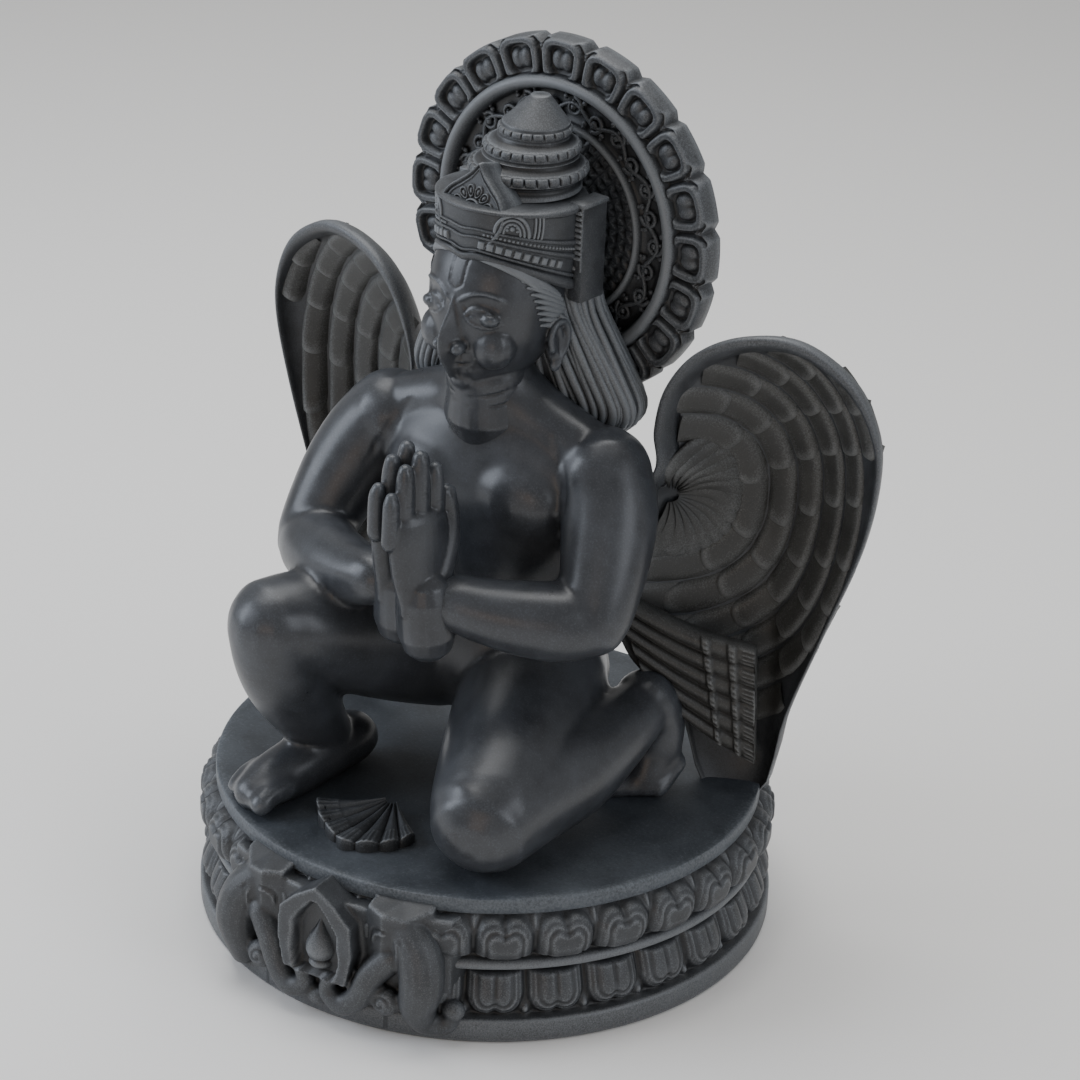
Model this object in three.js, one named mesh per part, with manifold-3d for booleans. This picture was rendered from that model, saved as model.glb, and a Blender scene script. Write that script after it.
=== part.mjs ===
// Kneeling garuda with spread wings, round halo and lotus plinth, carved from one block of dark stone.
// Millimetres, +Z up. The origin is the centre of the plinth's underside, the figure faces -Y and its left is +X.
import * as THREE from 'three';
import { mergeVertices } from 'three/addons/utils/BufferGeometryUtils.js';
import Module from 'manifold-3d';

const wasm = await Module();
wasm.setup();

// Driving dimensions of the block
const plinth = {
  radius: 250,        // base band and the bulge of both petal rows
  height: 129,        // underside to the flat the figure kneels on
  topRadius: 236,     // thin disc above the petals
  petals: 30,         // in each row
  lowerTurn: -1.5,    // degrees by which the lower row is offset from the upper one
};
const halo = {
  centre: [0, 84, 601],
  turn: -6,           // degrees about Z, with the head
  radius: 153,        // to the petal tips
  ring: 117,          // round moulding between petals and scrollwork
  innerRing: 83,      // thin moulding round the scale pattern
  petals: 20,
  front: 11,          // front face ahead of the centre plane
  back: 13,
};
const head = { centre: [0, -10, 562], turn: -8 };
const wing = { tip: [216, 93], thickness: 17, bowl: 46 };

// Joints of the figure. The statue's right side has negative x.
const joint = {
  neck: [-2, -10, 468], skull: [-4, -10, 510],
  shoulderL: [108, -4, 431], elbowL: [131, -62, 328], wristL: [38, -122, 338],
  shoulderR: [-112, -4, 427], elbowR: [-146, -58, 320], wristR: [-36, -126, 341],
  hipL: [50, -2, 228], kneeL: [98, -157, 178], ankleL: [132, 30, 204],
  hipR: [-50, -4, 234], kneeR: [-113, -160, 291], ankleR: [-101, -101, 160],
};

const radians = (degrees) => degrees * Math.PI / 180;
const vector = (p) => new THREE.Vector3(...p);
const mix = (a, b, t) => a + (b - a) * t;
const mixPoint = (a, b, t) => a.map((v, i) => mix(v, b[i], t));
const between = (name, other, t) => mixPoint(joint[name], joint[other], t);

function turned([x, y, z], degrees, [cx, cy] = [0, 0]) {
  const c = Math.cos(radians(degrees));
  const s = Math.sin(radians(degrees));
  return [cx + (x - cx) * c - (y - cy) * s, cy + (x - cx) * s + (y - cy) * c, z];
}

// A closed mesh becomes a solid, turned inside out first if its faces point inwards.
function solid(positions, triangles) {
  let volume = 0;
  for (let i = 0; i < triangles.length; i += 3) {
    const corner = (k) => vector(positions.slice(3 * triangles[i + k], 3 * triangles[i + k] + 3));
    const [a, b, c] = [0, 1, 2].map(corner);
    volume += a.dot(b.cross(c));
  }
  if (volume < 0) triangles = triangles.map((_, i) => triangles[i - (i % 3) + 2 - (i % 3)]);
  return new wasm.Manifold(new wasm.Mesh({
    numProp: 3,
    vertProperties: new Float32Array(positions),
    triVerts: new Uint32Array(triangles),
  }));
}

function fromGeometry(geometry, place = new THREE.Matrix4()) {
  const bare = geometry.index ? geometry.toNonIndexed() : geometry;
  bare.deleteAttribute('normal');
  bare.deleteAttribute('uv');
  const merged = mergeVertices(bare.applyMatrix4(place), 1e-3);
  return solid([...merged.attributes.position.array], [...merged.index.array]);
}

// Skin over closed rings of equal point counts, capped by a fan round the middle of each end ring.
function loft(rings) {
  const count = rings[0].length;
  const triangles = [];
  rings.slice(1).forEach((_, r) => {
    for (let i = 0; i < count; i += 1) {
      const j = (i + 1) % count;
      const [a, b, c, d] = [r * count + i, r * count + j, (r + 1) * count + i, (r + 1) * count + j];
      triangles.push(a, b, d, a, d, c);
    }
  });
  const middle = (ring) => [0, 1, 2].map((k) => ring.reduce((sum, p) => sum + p[k], 0) / count);
  const first = rings.length * count;
  const last = (rings.length - 1) * count;
  for (let i = 0; i < count; i += 1) {
    const j = (i + 1) % count;
    triangles.push(first, j, i, first + 1, last + i, last + j);
  }
  return solid([...rings, [middle(rings[0]), middle(rings[rings.length - 1])]].flat(2), triangles);
}

// Skin over rings that return to the first one, such as a collar.
function hoop(rings) {
  const count = rings[0].length;
  const triangles = [];
  rings.forEach((_, r) => {
    const next = (r + 1) % rings.length;
    for (let i = 0; i < count; i += 1) {
      const j = (i + 1) % count;
      const [a, b, c, d] = [r * count + i, r * count + j, next * count + i, next * count + j];
      triangles.push(a, b, d, a, d, c);
    }
  });
  return solid(rings.flat(2), triangles);
}

// A round limb through stations [x, y, z, radius], with bevelled ends or, on a knee, a round one.
function limb(stations, { sides = 8, flat = 1, side = [0, 0, 1], knee = false } = {}) {
  const curve = new THREE.CatmullRomCurve3(stations.map((s) => vector(s.slice(0, 3))));
  const rings = [];
  const ring = (centre, tangent, radius) => {
    const across = vector(side).cross(tangent).normalize();
    const up = tangent.clone().cross(across).normalize();
    return Array.from({ length: sides }, (_, i) => {
      const a = 2 * Math.PI * (i + 0.5) / sides;
      return centre.clone().addScaledVector(across, radius * Math.cos(a))
        .addScaledVector(up, radius * flat * Math.sin(a)).toArray();
    });
  };
  const last = stations.length - 1;
  stations.forEach(([, , , radius], k) => {
    const centre = curve.getPoint(k / last);
    const tangent = curve.getTangent(k / last).normalize();
    const beyond = (share) => centre.clone().addScaledVector(tangent, share * radius);
    if (k === 0) rings.push(ring(beyond(-0.7), tangent, 0.66 * radius));
    rings.push(ring(centre, tangent, radius));
    if (k === last) {
      const ends = knee ? [[0.55, 0.85], [0.9, 0.45]] : [[0.7, 0.66]];
      ends.forEach(([share, shrink]) => rings.push(ring(beyond(share), tangent, shrink * radius)));
    }
  });
  return loft(rings);
}

// Level oval sections [z, x, y, half width, depth to the front, depth to the back, squareness].
function ovals(sections, points, shape = () => [1, 0]) {
  return loft(sections.map(([z, x, y, wide, front, back, square = 2], row) => (
    Array.from({ length: points }, (_, i) => {
      const a = 2 * Math.PI * i / points;
      const power = (v) => Math.sign(v) * Math.abs(v) ** (2 / square);
      const [scale, lift] = shape(a, row);
      const sine = power(Math.sin(a));
      return [x + wide * scale * power(Math.cos(a)), y + scale * sine * (sine < 0 ? front : back), z + lift];
    }))));
}

const turnSolid = (piece, degrees, [x, y]) => (
  piece.translate([-x, -y, 0]).rotate([0, 0, degrees]).translate([x, y, 0]));

function ball(centre, size, segments = 8) {
  const place = new THREE.Matrix4().makeTranslation(...centre).scale(vector(size));
  return fromGeometry(new THREE.SphereGeometry(1, segments, Math.round(segments * 0.7)), place);
}

// A round boss or band standing on a surface, with its axis along a direction.
function boss(centre, direction, radius, height, { sides = 10, crown = 0.85 } = {}) {
  const profile = [[0, -height], [radius, -height], [radius * crown, height], [0, height]];
  const lathe = new THREE.LatheGeometry(profile.map(([r, h]) => new THREE.Vector2(r, h)), sides);
  const place = new THREE.Matrix4().compose(vector(centre),
    new THREE.Quaternion().setFromUnitVectors(new THREE.Vector3(0, 1, 0), vector(direction).normalize()),
    new THREE.Vector3(1, 1, 1));
  return fromGeometry(lathe, place);
}


function makePlinth() {
  const perPetal = 2;
  const points = plinth.petals * perPetal;
  const rim = plinth.radius;
  // height, radius, depth of the seam between petals, and whether the row belongs to the lower petals
  const rows = [
    [0, rim, 0], [20, rim, 0], [24, rim - 2, 6, true], [58, rim - 13, 5, true], [65, rim - 9, 0], [76, rim - 9, 0],
    [98, rim, 9], [116, plinth.topRadius, 0], [plinth.height, plinth.topRadius, 0],
  ];
  return loft(rows.map(([z, radius, seam, lower]) => (
    Array.from({ length: points }, (_, i) => {
      const a = 2 * Math.PI * (i + 1) / points + radians(lower ? plinth.lowerTurn : 0);
      const r = radius - (i % perPetal === 0 ? seam : 0);
      return [r * Math.sin(a), -r * Math.cos(a), z];
    }))));
}

// Faceted niche at the front of the plinth, with a curling trunk on each side.
function makeNiche() {
  const outer = plinth.radius + 13;
  const extruded = (shape, depth) => (
    new THREE.ExtrudeGeometry(shape, { depth, bevelEnabled: false, curveSegments: 3 }));
  const slab = (points, low, high) => fromGeometry(
    extruded(new THREE.Shape(points.map(([x, y]) => new THREE.Vector2(x, y))), high - low),
    new THREE.Matrix4().makeTranslation(0, 0, low),
  );
  const upright = (shape, from, depth) => fromGeometry(extruded(shape, depth),
    new THREE.Matrix4().makeTranslation(0, from, 0).multiply(new THREE.Matrix4().makeRotationX(Math.PI / 2)));
  const arch = new THREE.Shape();
  arch.moveTo(-30, 40);
  arch.lineTo(30, 40);
  arch.lineTo(37, 98);
  arch.quadraticCurveTo(30, 112, 0, 127);
  arch.quadraticCurveTo(-30, 112, -37, 98);
  const recess = new THREE.Shape();
  recess.moveTo(-22, 46);
  recess.lineTo(22, 46);
  recess.quadraticCurveTo(28, 88, 0, 113);
  recess.quadraticCurveTo(-28, 88, -22, 46);
  const backing = [[-116, -200], [116, -200], [110, -226], [60, -247], [0, -254], [-60, -247], [-110, -226]];
  const parts = [
    slab(backing, 0, 116),
    upright(arch, -222, outer - 222 + 4).subtract(upright(recess, -outer + 6, 20)),
    ball([0, -outer + 4, 68], [14, 9, 24], 6),
    slab([[-66, -200], [66, -200], [60, -232], [0, -244], [-60, -232]], 90, plinth.height - 0.5),
  ];
  const trunk = [[84, -226, 84, 20], [80, -238, 58, 21], [88, -234, 30, 18], [110, -217, 24, 10]];
  const curl = [[56, -246, 52, 15], [32, -253, 32, 13], [14, -256, 28, 10], [18, -258, 46, 7]];
  const block = [[52, -212], [92, -206], [96, -232], [62, -254], [40, -250]];
  for (const hand of [1, -1]) {
    const mirrored = (stations) => stations.map(([x, ...rest]) => [hand * x, ...rest]);
    parts.push(slab(hand > 0 ? block : mirrored(block).reverse(), 70, 118));
    parts.push(limb(mirrored(trunk), { sides: 6, side: [0, 1, 0.1] }));
    parts.push(limb(mirrored(curl), { sides: 6, side: [0, 1, 0.1] }));
  }
  return parts;
}

function makeTorso() {
  const points = 16;
  const chestRows = [6, 7];
  const bulge = { 9: 1.05, 10: 1.1, 11: 1.1, 12: 0.98, 13: 1.1, 14: 1.1, 15: 1.05 };
  const chest = (a, row) => [(chestRows.includes(row) && bulge[Math.round(a * points / (2 * Math.PI))]) || 1, 0];
  const trunk = ovals([
    [196, 0, 6, 70, 44, 60, 2.4], [234, 0, -2, 86, 64, 66, 2.4], [236, 0, -2, 91, 73, 70, 2.4],
    [262, 0, -4, 84, 71, 64, 2.3], [265, 0, -4, 75, 60, 58, 2.3], [288, 0, -5, 69, 55, 54, 2.2],
    [352, 0, -7, 88, 55, 59, 2.3], [408, 0, -7, 106, 56, 60, 2.5], [438, 0, -5, 105, 48, 54, 2.6],
    [466, 0, -6, 60, 40, 42, 2.2],
  ], points, chest);
  return [trunk, limb([[...joint.neck, 37], [...joint.skull, 34]], { sides: 8, side: [0, 1, 0] })];
}

// Stations of a raised band on a limb, from one share of its length to another.
const band = (name, other, [from, to], radius, raised) => {
  const step = 0.005;
  return [[from, radius], [from + step, raised], [to - step, raised], [to, radius]]
    .map(([t, r]) => [...between(name, other, t), r]);
};

function makeLimbs() {
  const arm = (hand, cuff) => {
    const [shoulder, elbow, wrist] = [`shoulder${hand}`, `elbow${hand}`, `wrist${hand}`];
    const out = hand === 'L' ? 5 : -5;
    const upper = between(shoulder, elbow, 0.3);
    return [
      limb([[...joint[shoulder], 39], [upper[0] + out, upper[1], upper[2], 38],
        ...band(shoulder, elbow, [0.55, 0.66], 37, 43), [...joint[elbow], 32]], { side: [0, 1, 0] }),
      limb([[...joint[elbow], 32], [...between(elbow, wrist, 0.45), 31], ...band(elbow, wrist, cuff, 25, 30),
        [...joint[wrist], 23]]),
    ];
  };
  const along = (name, other, t, radius) => [...between(name, other, t), radius];
  const thighL = limb([along('hipL', 'kneeL', 0.4, 54), along('hipL', 'kneeL', 0.8, 52), [...joint.kneeL, 48]],
    { sides: 9, knee: true });
  const thighR = limb([[...joint.hipR, 60], along('hipR', 'kneeR', 0.45, 55), along('hipR', 'kneeR', 0.82, 48),
    [...joint.kneeR, 41]], { sides: 9 });
  const shinR = limb([[...joint.ankleR, 23], ...band('ankleR', 'kneeR', [0.06, 0.14], 25, 30),
    along('ankleR', 'kneeR', 0.6, 38), [...joint.kneeR, 41]], { side: [1, 0, 0], knee: true });
  const shinL = limb([[...joint.kneeL, 48], along('kneeL', 'ankleL', 0.35, 46), along('kneeL', 'ankleL', 0.75, 34),
    [...joint.ankleL, 26]]);
  return [...arm('L', [0.86, 0.98]), ...arm('R', [0.76, 0.88]), thighL, thighR, shinR, shinL];
}

// Feet: the right one flat, the left one upright on its bent toes.
function makeFeet() {
  const ground = plinth.height;
  const parts = [
    limb([[-97, -72, ground + 20, 22], [-103, -128, ground + 21, 24], [-113, -172, ground + 14, 24]],
      { flat: 0.8 }),
    limb([[132, 40, ground + 82, 25], [134, 40, ground + 46, 27], [136, 30, ground + 16, 22]],
      { side: [0, 1, 0], flat: 0.8 }),
  ];
  const toes = 5;
  for (let i = 0; i < toes; i += 1) {
    const t = i / (toes - 1);
    const thick = mix(10.5, 7, Math.min(1, t * 1.6));
    const [rightX, rightY] = [mix(-99, -138, t), mix(-196, -180, t)];
    const [leftX, leftY] = [mix(119, 157, t), mix(2, 24, t)];
    parts.push(limb([[rightX + 4, rightY + 22, ground + 14, thick],
      [rightX, rightY - 4, ground + thick - 1, thick - 1]], { sides: 4 }));
    parts.push(limb([[leftX + 2, leftY + 18, ground + 20, thick],
      [leftX, leftY + 2, ground + 7, thick - 2]], { sides: 4, side: [1, 0, 0] }));
  }
  return parts;
}

// Palms pressed together in front of the chest. The hands' plane is turned with the chest.
function makeHands() {
  const turn = 17;
  const origin = [4, -128, 340];
  const place = ([across, front, up]) => {
    const [x, y] = turned([across, -front, 0], -turn);
    return [origin[0] + x, origin[1] + y, origin[2] + up];
  };
  const fingers = [[-16, 116, 7.5], [0, 130, 8], [15, 122, 7.5], [29, 101, 6.8]];
  const parts = [];
  for (const hand of [1, -1]) {
    const lag = hand > 0 ? 0 : 3;
    const station = (across, front, up, radius) => [...place([hand * across, front, up + lag]), radius];
    const side = [1, 0, 0];
    parts.push(limb([station(15, 2, 2, 24), station(11, 5, 30, 28), station(10, 7, 66, 29)],
      { flat: 0.42, side }));
    fingers.forEach(([front, tip, thick]) => {
      const root = station(9, front + 6, 64, thick + 1);
      parts.push(limb([root, station(8.5, front + 5, tip, thick - 0.5)], { sides: 5, side }));
    });
    parts.push(limb([station(12, -12, 26, 13), station(9, -27, 62, 9), station(8, -24, 92, 7)],
      { sides: 5, side }));
  }
  return parts;
}

function makeHead() {
  const [x, y, z] = head.centre;
  // height from the centre, half width, depth to the face, depth to the back, squareness
  const rows = [
    [-70, 15, 34, 20, 2], [-62, 26, 46, 30, 2.1], [-46, 38, 50, 42, 2.2], [-26, 47, 54, 52, 2.4],
    [2, 51, 56, 60, 2.4], [22, 51, 54, 60, 2.3], [44, 46, 45, 56, 2.2], [64, 32, 28, 40, 2],
  ];
  const skull = ovals(rows.map(([up, ...sizes]) => [z + up, x, y, ...sizes]), 14);
  const beak = limb([[x, y - 50, z + 14, 6], [x, y - 61, z - 6, 9], [x, y - 62, z - 24, 14],
    [x, y - 60, z - 38, 8], [x, y - 54, z - 52, 4]], { sides: 6, side: [0, 1, 0] });
  const ears = [-1, 1].map((hand) => limb([[x + hand * 51, y + 14, z - 12, 10], [x + hand * 55, y + 9, z - 42, 6]],
    { sides: 6, flat: 0.6, side: [0, 1, 0] }));
  const earrings = [-1, 1].map((hand) => boss([x + hand * 59, y + 6, z - 58], [hand, -0.3, 0], 16, 7));
  return [skull, beak, ...ears, ...earrings].map((part) => turnSolid(part, head.turn, [x, y]));
}

function makeCrown() {
  const [x, y, z] = head.centre;
  const slope = 0.46;
  const frontY = -60;
  // height above the head's centre, half width, depth to the front, depth to the back, share of the brow's slope
  const rows = [
    [46, 56, 57, 62, 1], [62, 58, 59, 62, 0.8], [88, 60, 58, 62, 0.1], [92, 45, 45, 45, 0], [98, 49, 49, 49, 0],
    [105, 49, 49, 49, 0], [110, 41, 41, 41, 0], [121, 40, 40, 40, 0], [124, 32, 32, 32, 0],
    [134, 32, 32, 32, 0], [137, 27, 27, 27, 0], [157, 8, 8, 8, 0],
  ];
  const points = 14;
  const lean = 0.22;
  const tiers = loft(rows.map(([up, wide, front, back, tilt]) => {
    const centreY = up > 90 ? y + 30 + lean * (up - 90) : y + 12;
    return Array.from({ length: points }, (_, i) => {
      const a = 2 * Math.PI * i / points;
      const dy = Math.sin(a) * (Math.sin(a) < 0 ? front : back);
      return [x + wide * Math.cos(a), centreY + dy, z + up - tilt * slope * (dy - frontY)];
    });
  }));
  const leaf = new THREE.Shape();
  leaf.moveTo(0, 40);
  leaf.quadraticCurveTo(-30, 52, -34, 74);
  leaf.quadraticCurveTo(-22, 92, 0, 114);
  leaf.quadraticCurveTo(22, 92, 34, 74);
  leaf.quadraticCurveTo(30, 52, 0, 40);
  const lying = new THREE.Matrix4().makeRotationX(radians(76));
  const plaque = fromGeometry(
    new THREE.ExtrudeGeometry(leaf, { depth: 28, bevelEnabled: false, curveSegments: 3 }),
    new THREE.Matrix4().makeTranslation(x, y - 26, z).multiply(lying),
  );
  const flower = boss([x, y - 37, z + 80], [0, -1, 0.25], 20, 12);
  const side = [-1, 1].map((hand) => fromGeometry(new THREE.BoxGeometry(14, 30, 84),
    new THREE.Matrix4().makeTranslation(x + hand * 58, y + 40, z + 44)));
  return [tiers, plaque, flower, ...side].map((part) => turnSolid(part, head.turn, [x, y]));
}

// Long hair combed back from the brow and falling over both shoulders, cut into locks.
function makeHair() {
  const points = 20;
  const groove = 0.06;
  const locks = (a, row) => [1 - (row > 0 && Math.round(a * points / (2 * Math.PI)) % 2 ? groove : 0), 0];
  return [ovals([
    [612, -5, 34, 52, 40, 42, 2.2], [585, -5, 32, 64, 42, 46, 2.3], [545, -4, 34, 73, 36, 46, 2.4],
    [500, -2, 39, 97, 34, 44, 2.6], [466, 0, 43, 110, 34, 41, 2.8], [446, 0, 44, 98, 28, 36, 2.6],
  ], points, locks)];
}

function makeHalo() {
  const points = halo.petals * 2;
  const [cx, cy, cz] = halo.centre;
  // radius, depth ahead of the centre plane, depth of the notch between petals
  const rows = [
    [halo.innerRing - 3, halo.front - 9, 0], [halo.innerRing + 3, halo.front - 3, 0],
    [halo.ring - 6, halo.front - 5, 0], [halo.ring, halo.front + 3, 0], [halo.ring + 8, halo.front - 7, 0],
    [halo.radius - 9, halo.front, 3], [halo.radius, halo.front - 6, 8], [halo.radius - 4, -halo.back, 6],
  ];
  const disc = loft(rows.map(([radius, ahead, notch]) => (
    Array.from({ length: points }, (_, i) => {
      const a = 2 * Math.PI * (i + 1) / points;
      const r = radius - (i % 2 === 0 ? notch : 0);
      return [cx + r * Math.sin(a), cy - ahead, cz + r * Math.cos(a)];
    }))));
  return turnSolid(disc, halo.turn, [cx, cy]);
}

// Cupped wing with a rolled rim, given as a loop of
// [distance from the tip along the sweep, height, curl towards the front].
function makeWing(hand) {
  const sweep = radians(24);
  const rim = [
    [-104, 416, 0], [-106, 452, 0], [-98, 493, 5], [-74, 528, 10], [-36, 546, 15], [8, 547, 22],
    [50, 521, 29], [73, 481, 32], [79, 436, 30], [70, 366, 20], [43, 277, 9], [18, 196, 2], [2, 122, 0],
    [-46, 122, -2], [-72, 190, -8], [-118, 240, -6], [-136, 300, -4], [-132, 370, -4],
  ].map(([along, z, curl]) => [
    wing.tip[0] + along * Math.cos(sweep) + 0.4 * curl, wing.tip[1] + along * Math.sin(sweep) - 0.85 * curl, z,
  ]);
  const middle = [188, 84, 390];
  const ring = (share, ahead, scallop = 0) => rim.map((p, i) => {
    const reach = share + (i % 2 ? scallop : 0);
    const at = middle.map((m, k) => mix(m, p[k], reach));
    return [at[0], at[1] + wing.bowl * (1 - reach ** 2.2) - ahead, at[2]];
  });
  // Each feather row ends in scalloped tips that stand ahead of the next row.
  const tips = [0.3, 0.52, 0.74];
  const step = 4;
  const scallop = 0.05;
  const feathers = tips.flatMap((share) => [ring(share, step, scallop), ring(share + 0.02, 0, scallop)]);
  const roll = [ring(0.91, 0), ring(0.96, 8), ring(1, 2)];
  const behind = [ring(0.97, -12), ring(0.5, -wing.thickness)];
  const shell = loft([ring(0.1, 0), ...feathers, ...roll, ...behind]);
  return hand > 0 ? shell : shell.mirror([1, 0, 0]);
}

// A pleated strip between two cross-sections, each given by its left edge, right edge and thickness.
function pleated(start, end, { count, depth, away = 1 }) {
  const line = ([left, right, thick]) => {
    const across = vector(right).sub(vector(left));
    const level = Math.hypot(across.x, across.y) > Math.abs(across.z);
    const flat = level ? new THREE.Vector3(0, 0, 1) : new THREE.Vector3(1, 0.4, 0);
    const out = across.clone().cross(flat).normalize().multiplyScalar(away);
    const face = Array.from({ length: 2 * count + 1 }, (_, i) => (
      vector(left).addScaledVector(across, i / (2 * count)).addScaledVector(out, i % 2 ? depth : 0).toArray()));
    const rear = [right, left].map((p) => vector(p).addScaledVector(out, -thick).toArray());
    return [...face, ...rear];
  };
  return loft([line(start), line(end)]);
}

// Cloth: skirt over the left thigh, apron flap, pleated front sash and a ribbed train on each side.
function makeCloth() {
  const skirtPleats = 7;
  const skirt = limb([[...joint.hipL, 66], [...between('hipL', 'kneeL', 0.35), 66],
    [...between('hipL', 'kneeL', 0.7), 60]], { sides: 2 * skirtPleats });
  const apron = limb([[112, 4, 262, 28], [126, 14, 226, 22], [130, 20, 208, 12]],
    { sides: 6, flat: 0.5, side: [0, 1, 0] });
  const sash = [
    pleated([[-15, -66, 250], [15, -66, 250], 26], [[-22, -158, 214], [20, -160, 214], 24],
      { count: 3, depth: 5 }),
    pleated([[-22, -162, 210], [18, -162, 210], 14], [[-70, -158, 129], [30, -152, 129], 30],
      { count: 2, depth: 0 }),
    pleated([[-24, -166, 212], [18, -166, 212], 8], [[-66, -170, 129], [28, -166, 129], 12],
      { count: 5, depth: 18 }),
  ];
  const train = [-1, 1].map((hand) => {
    const piece = pleated([[110, 45, 200], [94, 34, 300], 22], [[219, 76, 156], [214, 72, 268], 26],
      { count: 4, depth: 7, away: -1 });
    return hand > 0 ? piece : piece.mirror([1, 0, 0]);
  });
  return [skirt, apron, ...sash, ...train];
}

// Jewellery that stands clear of the skin. Armlets, bracelets, belt and anklet belong to their limbs.
function makeJewels() {
  const steps = 12;
  const collar = hoop(Array.from({ length: steps }, (_, i) => {
    const a = 2 * Math.PI * (i + 0.5) / steps;
    const [c, s] = [Math.cos(a), Math.sin(a)];
    const drop = s < 0 ? -s * 22 : 0;
    return [[-2 + 44 * c, -12 + 42 * s, 479 - 0.25 * drop], [-1 + 66 * c, -10 + 55 * s, 468 - 0.5 * drop],
      [88 * c, -8 + (s < 0 ? 56 : 52) * s, 450 - 1.1 * drop], [50 * c, -10 + 30 * s, 452]];
  }));
  const garlands = [-1, 1].map((hand) => (
    limb([[hand * 70, -40, 446, 9], [hand * 40, -64, 404, 9], [hand * 27, -60, 340, 8]],
      { sides: 4, side: [0, 1, 0] })));
  return [
    collar, ...garlands,
    boss([0, -62, 448], [0, -1, 0.15], 14, 8), boss([0, -74, 250], [0, -1, -0.1], 24, 8),
    boss([-2, -170, 212], [0, -0.7, 0.7], 26, 8), boss([-60, -88, 232], [0.4, -1, 0.2], 30, 8),
  ];
}

function makeFigure() {
  const parts = [
    makePlinth(), ...makeNiche(), ...makeTorso(), ...makeLimbs(), ...makeFeet(), ...makeHands(),
    ...makeHead(), ...makeCrown(), ...makeHair(), makeHalo(), makeWing(1), makeWing(-1),
    ...makeCloth(), ...makeJewels(),
  ];
  return parts.reduce((whole, part) => whole.add(part));
}

const stone = new THREE.MeshStandardMaterial({ color: 0x3a3c3d, roughness: 0.38, metalness: 0 });
const carving = makeFigure().getMesh();
const geometry = new THREE.BufferGeometry();
geometry.setAttribute('position', new THREE.BufferAttribute(new Float32Array(carving.vertProperties), 3));
geometry.setIndex([...carving.triVerts]);
geometry.computeVertexNormals();
const figure = new THREE.Mesh(geometry, stone);
figure.name = 'garuda_figure';

const group = new THREE.Group();
group.add(figure);
export default group;
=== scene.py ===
import math

import bpy
import numpy as np
from mathutils import Matrix, Vector
from mathutils.bvhtree import BVHTree


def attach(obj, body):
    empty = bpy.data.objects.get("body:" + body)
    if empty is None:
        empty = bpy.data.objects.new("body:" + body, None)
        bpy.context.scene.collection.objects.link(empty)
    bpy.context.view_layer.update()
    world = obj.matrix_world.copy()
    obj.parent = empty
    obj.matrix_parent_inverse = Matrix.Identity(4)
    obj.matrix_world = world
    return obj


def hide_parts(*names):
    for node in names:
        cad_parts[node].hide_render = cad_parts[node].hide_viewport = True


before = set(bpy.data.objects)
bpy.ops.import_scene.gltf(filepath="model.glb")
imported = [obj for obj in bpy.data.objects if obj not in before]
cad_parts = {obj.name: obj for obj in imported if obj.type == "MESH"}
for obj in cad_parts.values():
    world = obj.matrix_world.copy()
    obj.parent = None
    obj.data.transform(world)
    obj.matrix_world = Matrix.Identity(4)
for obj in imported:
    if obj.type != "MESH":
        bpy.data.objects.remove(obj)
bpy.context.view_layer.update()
print("frame loaded")

mm = 0.001  # every form below is worked out in millimetres


# Camera, lights and floor

view = {
    "azimuth": 30.98,      # degrees to the statue's left of its front
    "elevation": 25.71,
    "roll": 2.294,
    "distance": 2815.6,
    "aimUp": 336.5,
    "aimAside": 36.65,
    "lens": 111.606,
    "sensor": 36.0,
}


def placeCamera(v):
    az, el, roll = (math.radians(v[k]) for k in ("azimuth", "elevation", "roll"))
    back = Vector((math.sin(az) * math.cos(el), -math.cos(az) * math.cos(el), math.sin(el)))
    level = Vector((0, 0, 1)).cross(back).normalized()
    rise = back.cross(level)
    right = level * math.cos(roll) + rise * math.sin(roll)
    up = rise * math.cos(roll) - level * math.sin(roll)
    eye = Vector((0, 0, v["aimUp"])) + right * v["aimAside"] + back * v["distance"]
    data = bpy.data.cameras.new("camera")
    data.lens = v["lens"]
    data.sensor_width = v["sensor"]
    data.clip_end = 60
    cam = bpy.data.objects.new("camera", data)
    cam.matrix_world = Matrix((
        (right.x, up.x, back.x, eye.x * mm),
        (right.y, up.y, back.y, eye.y * mm),
        (right.z, up.z, back.z, eye.z * mm),
        (0, 0, 0, 1),
    ))
    bpy.context.collection.objects.link(cam)
    bpy.context.scene.camera = cam


def fromHex(code):
    parts = [int(code[i:i + 2], 16) / 255 for i in (1, 3, 5)]
    linear = [c / 12.92 if c <= 0.04045 else ((c + 0.055) / 1.055) ** 2.4 for c in parts]
    return (*linear, 1.0)


lighting = {
    "overhead": {"at": (-0.5, 0.5, 2.9), "size": (2.6, 2.0), "power": 62, "colour": "#ffffff"},
    "leftWindow": {"at": (-2.4, -1.6, 1.5), "size": (1.6, 2.0), "power": 52, "colour": "#e8f1ff"},
    "rightWindow": {"at": (2.9, -0.3, 1.5), "size": (1.4, 1.8), "power": 20, "colour": "#eef4ff"},
    "frontFill": {"at": (0.9, -3.2, 0.9), "size": (1.8, 1.0), "power": 9, "colour": "#d9b899"},
    "room": {"colour": "#f3f2f0", "strength": 0.42},
    "floor": {"colour": "#f6f5f3", "roughness": 0.8, "half": 30.0},
}


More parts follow.
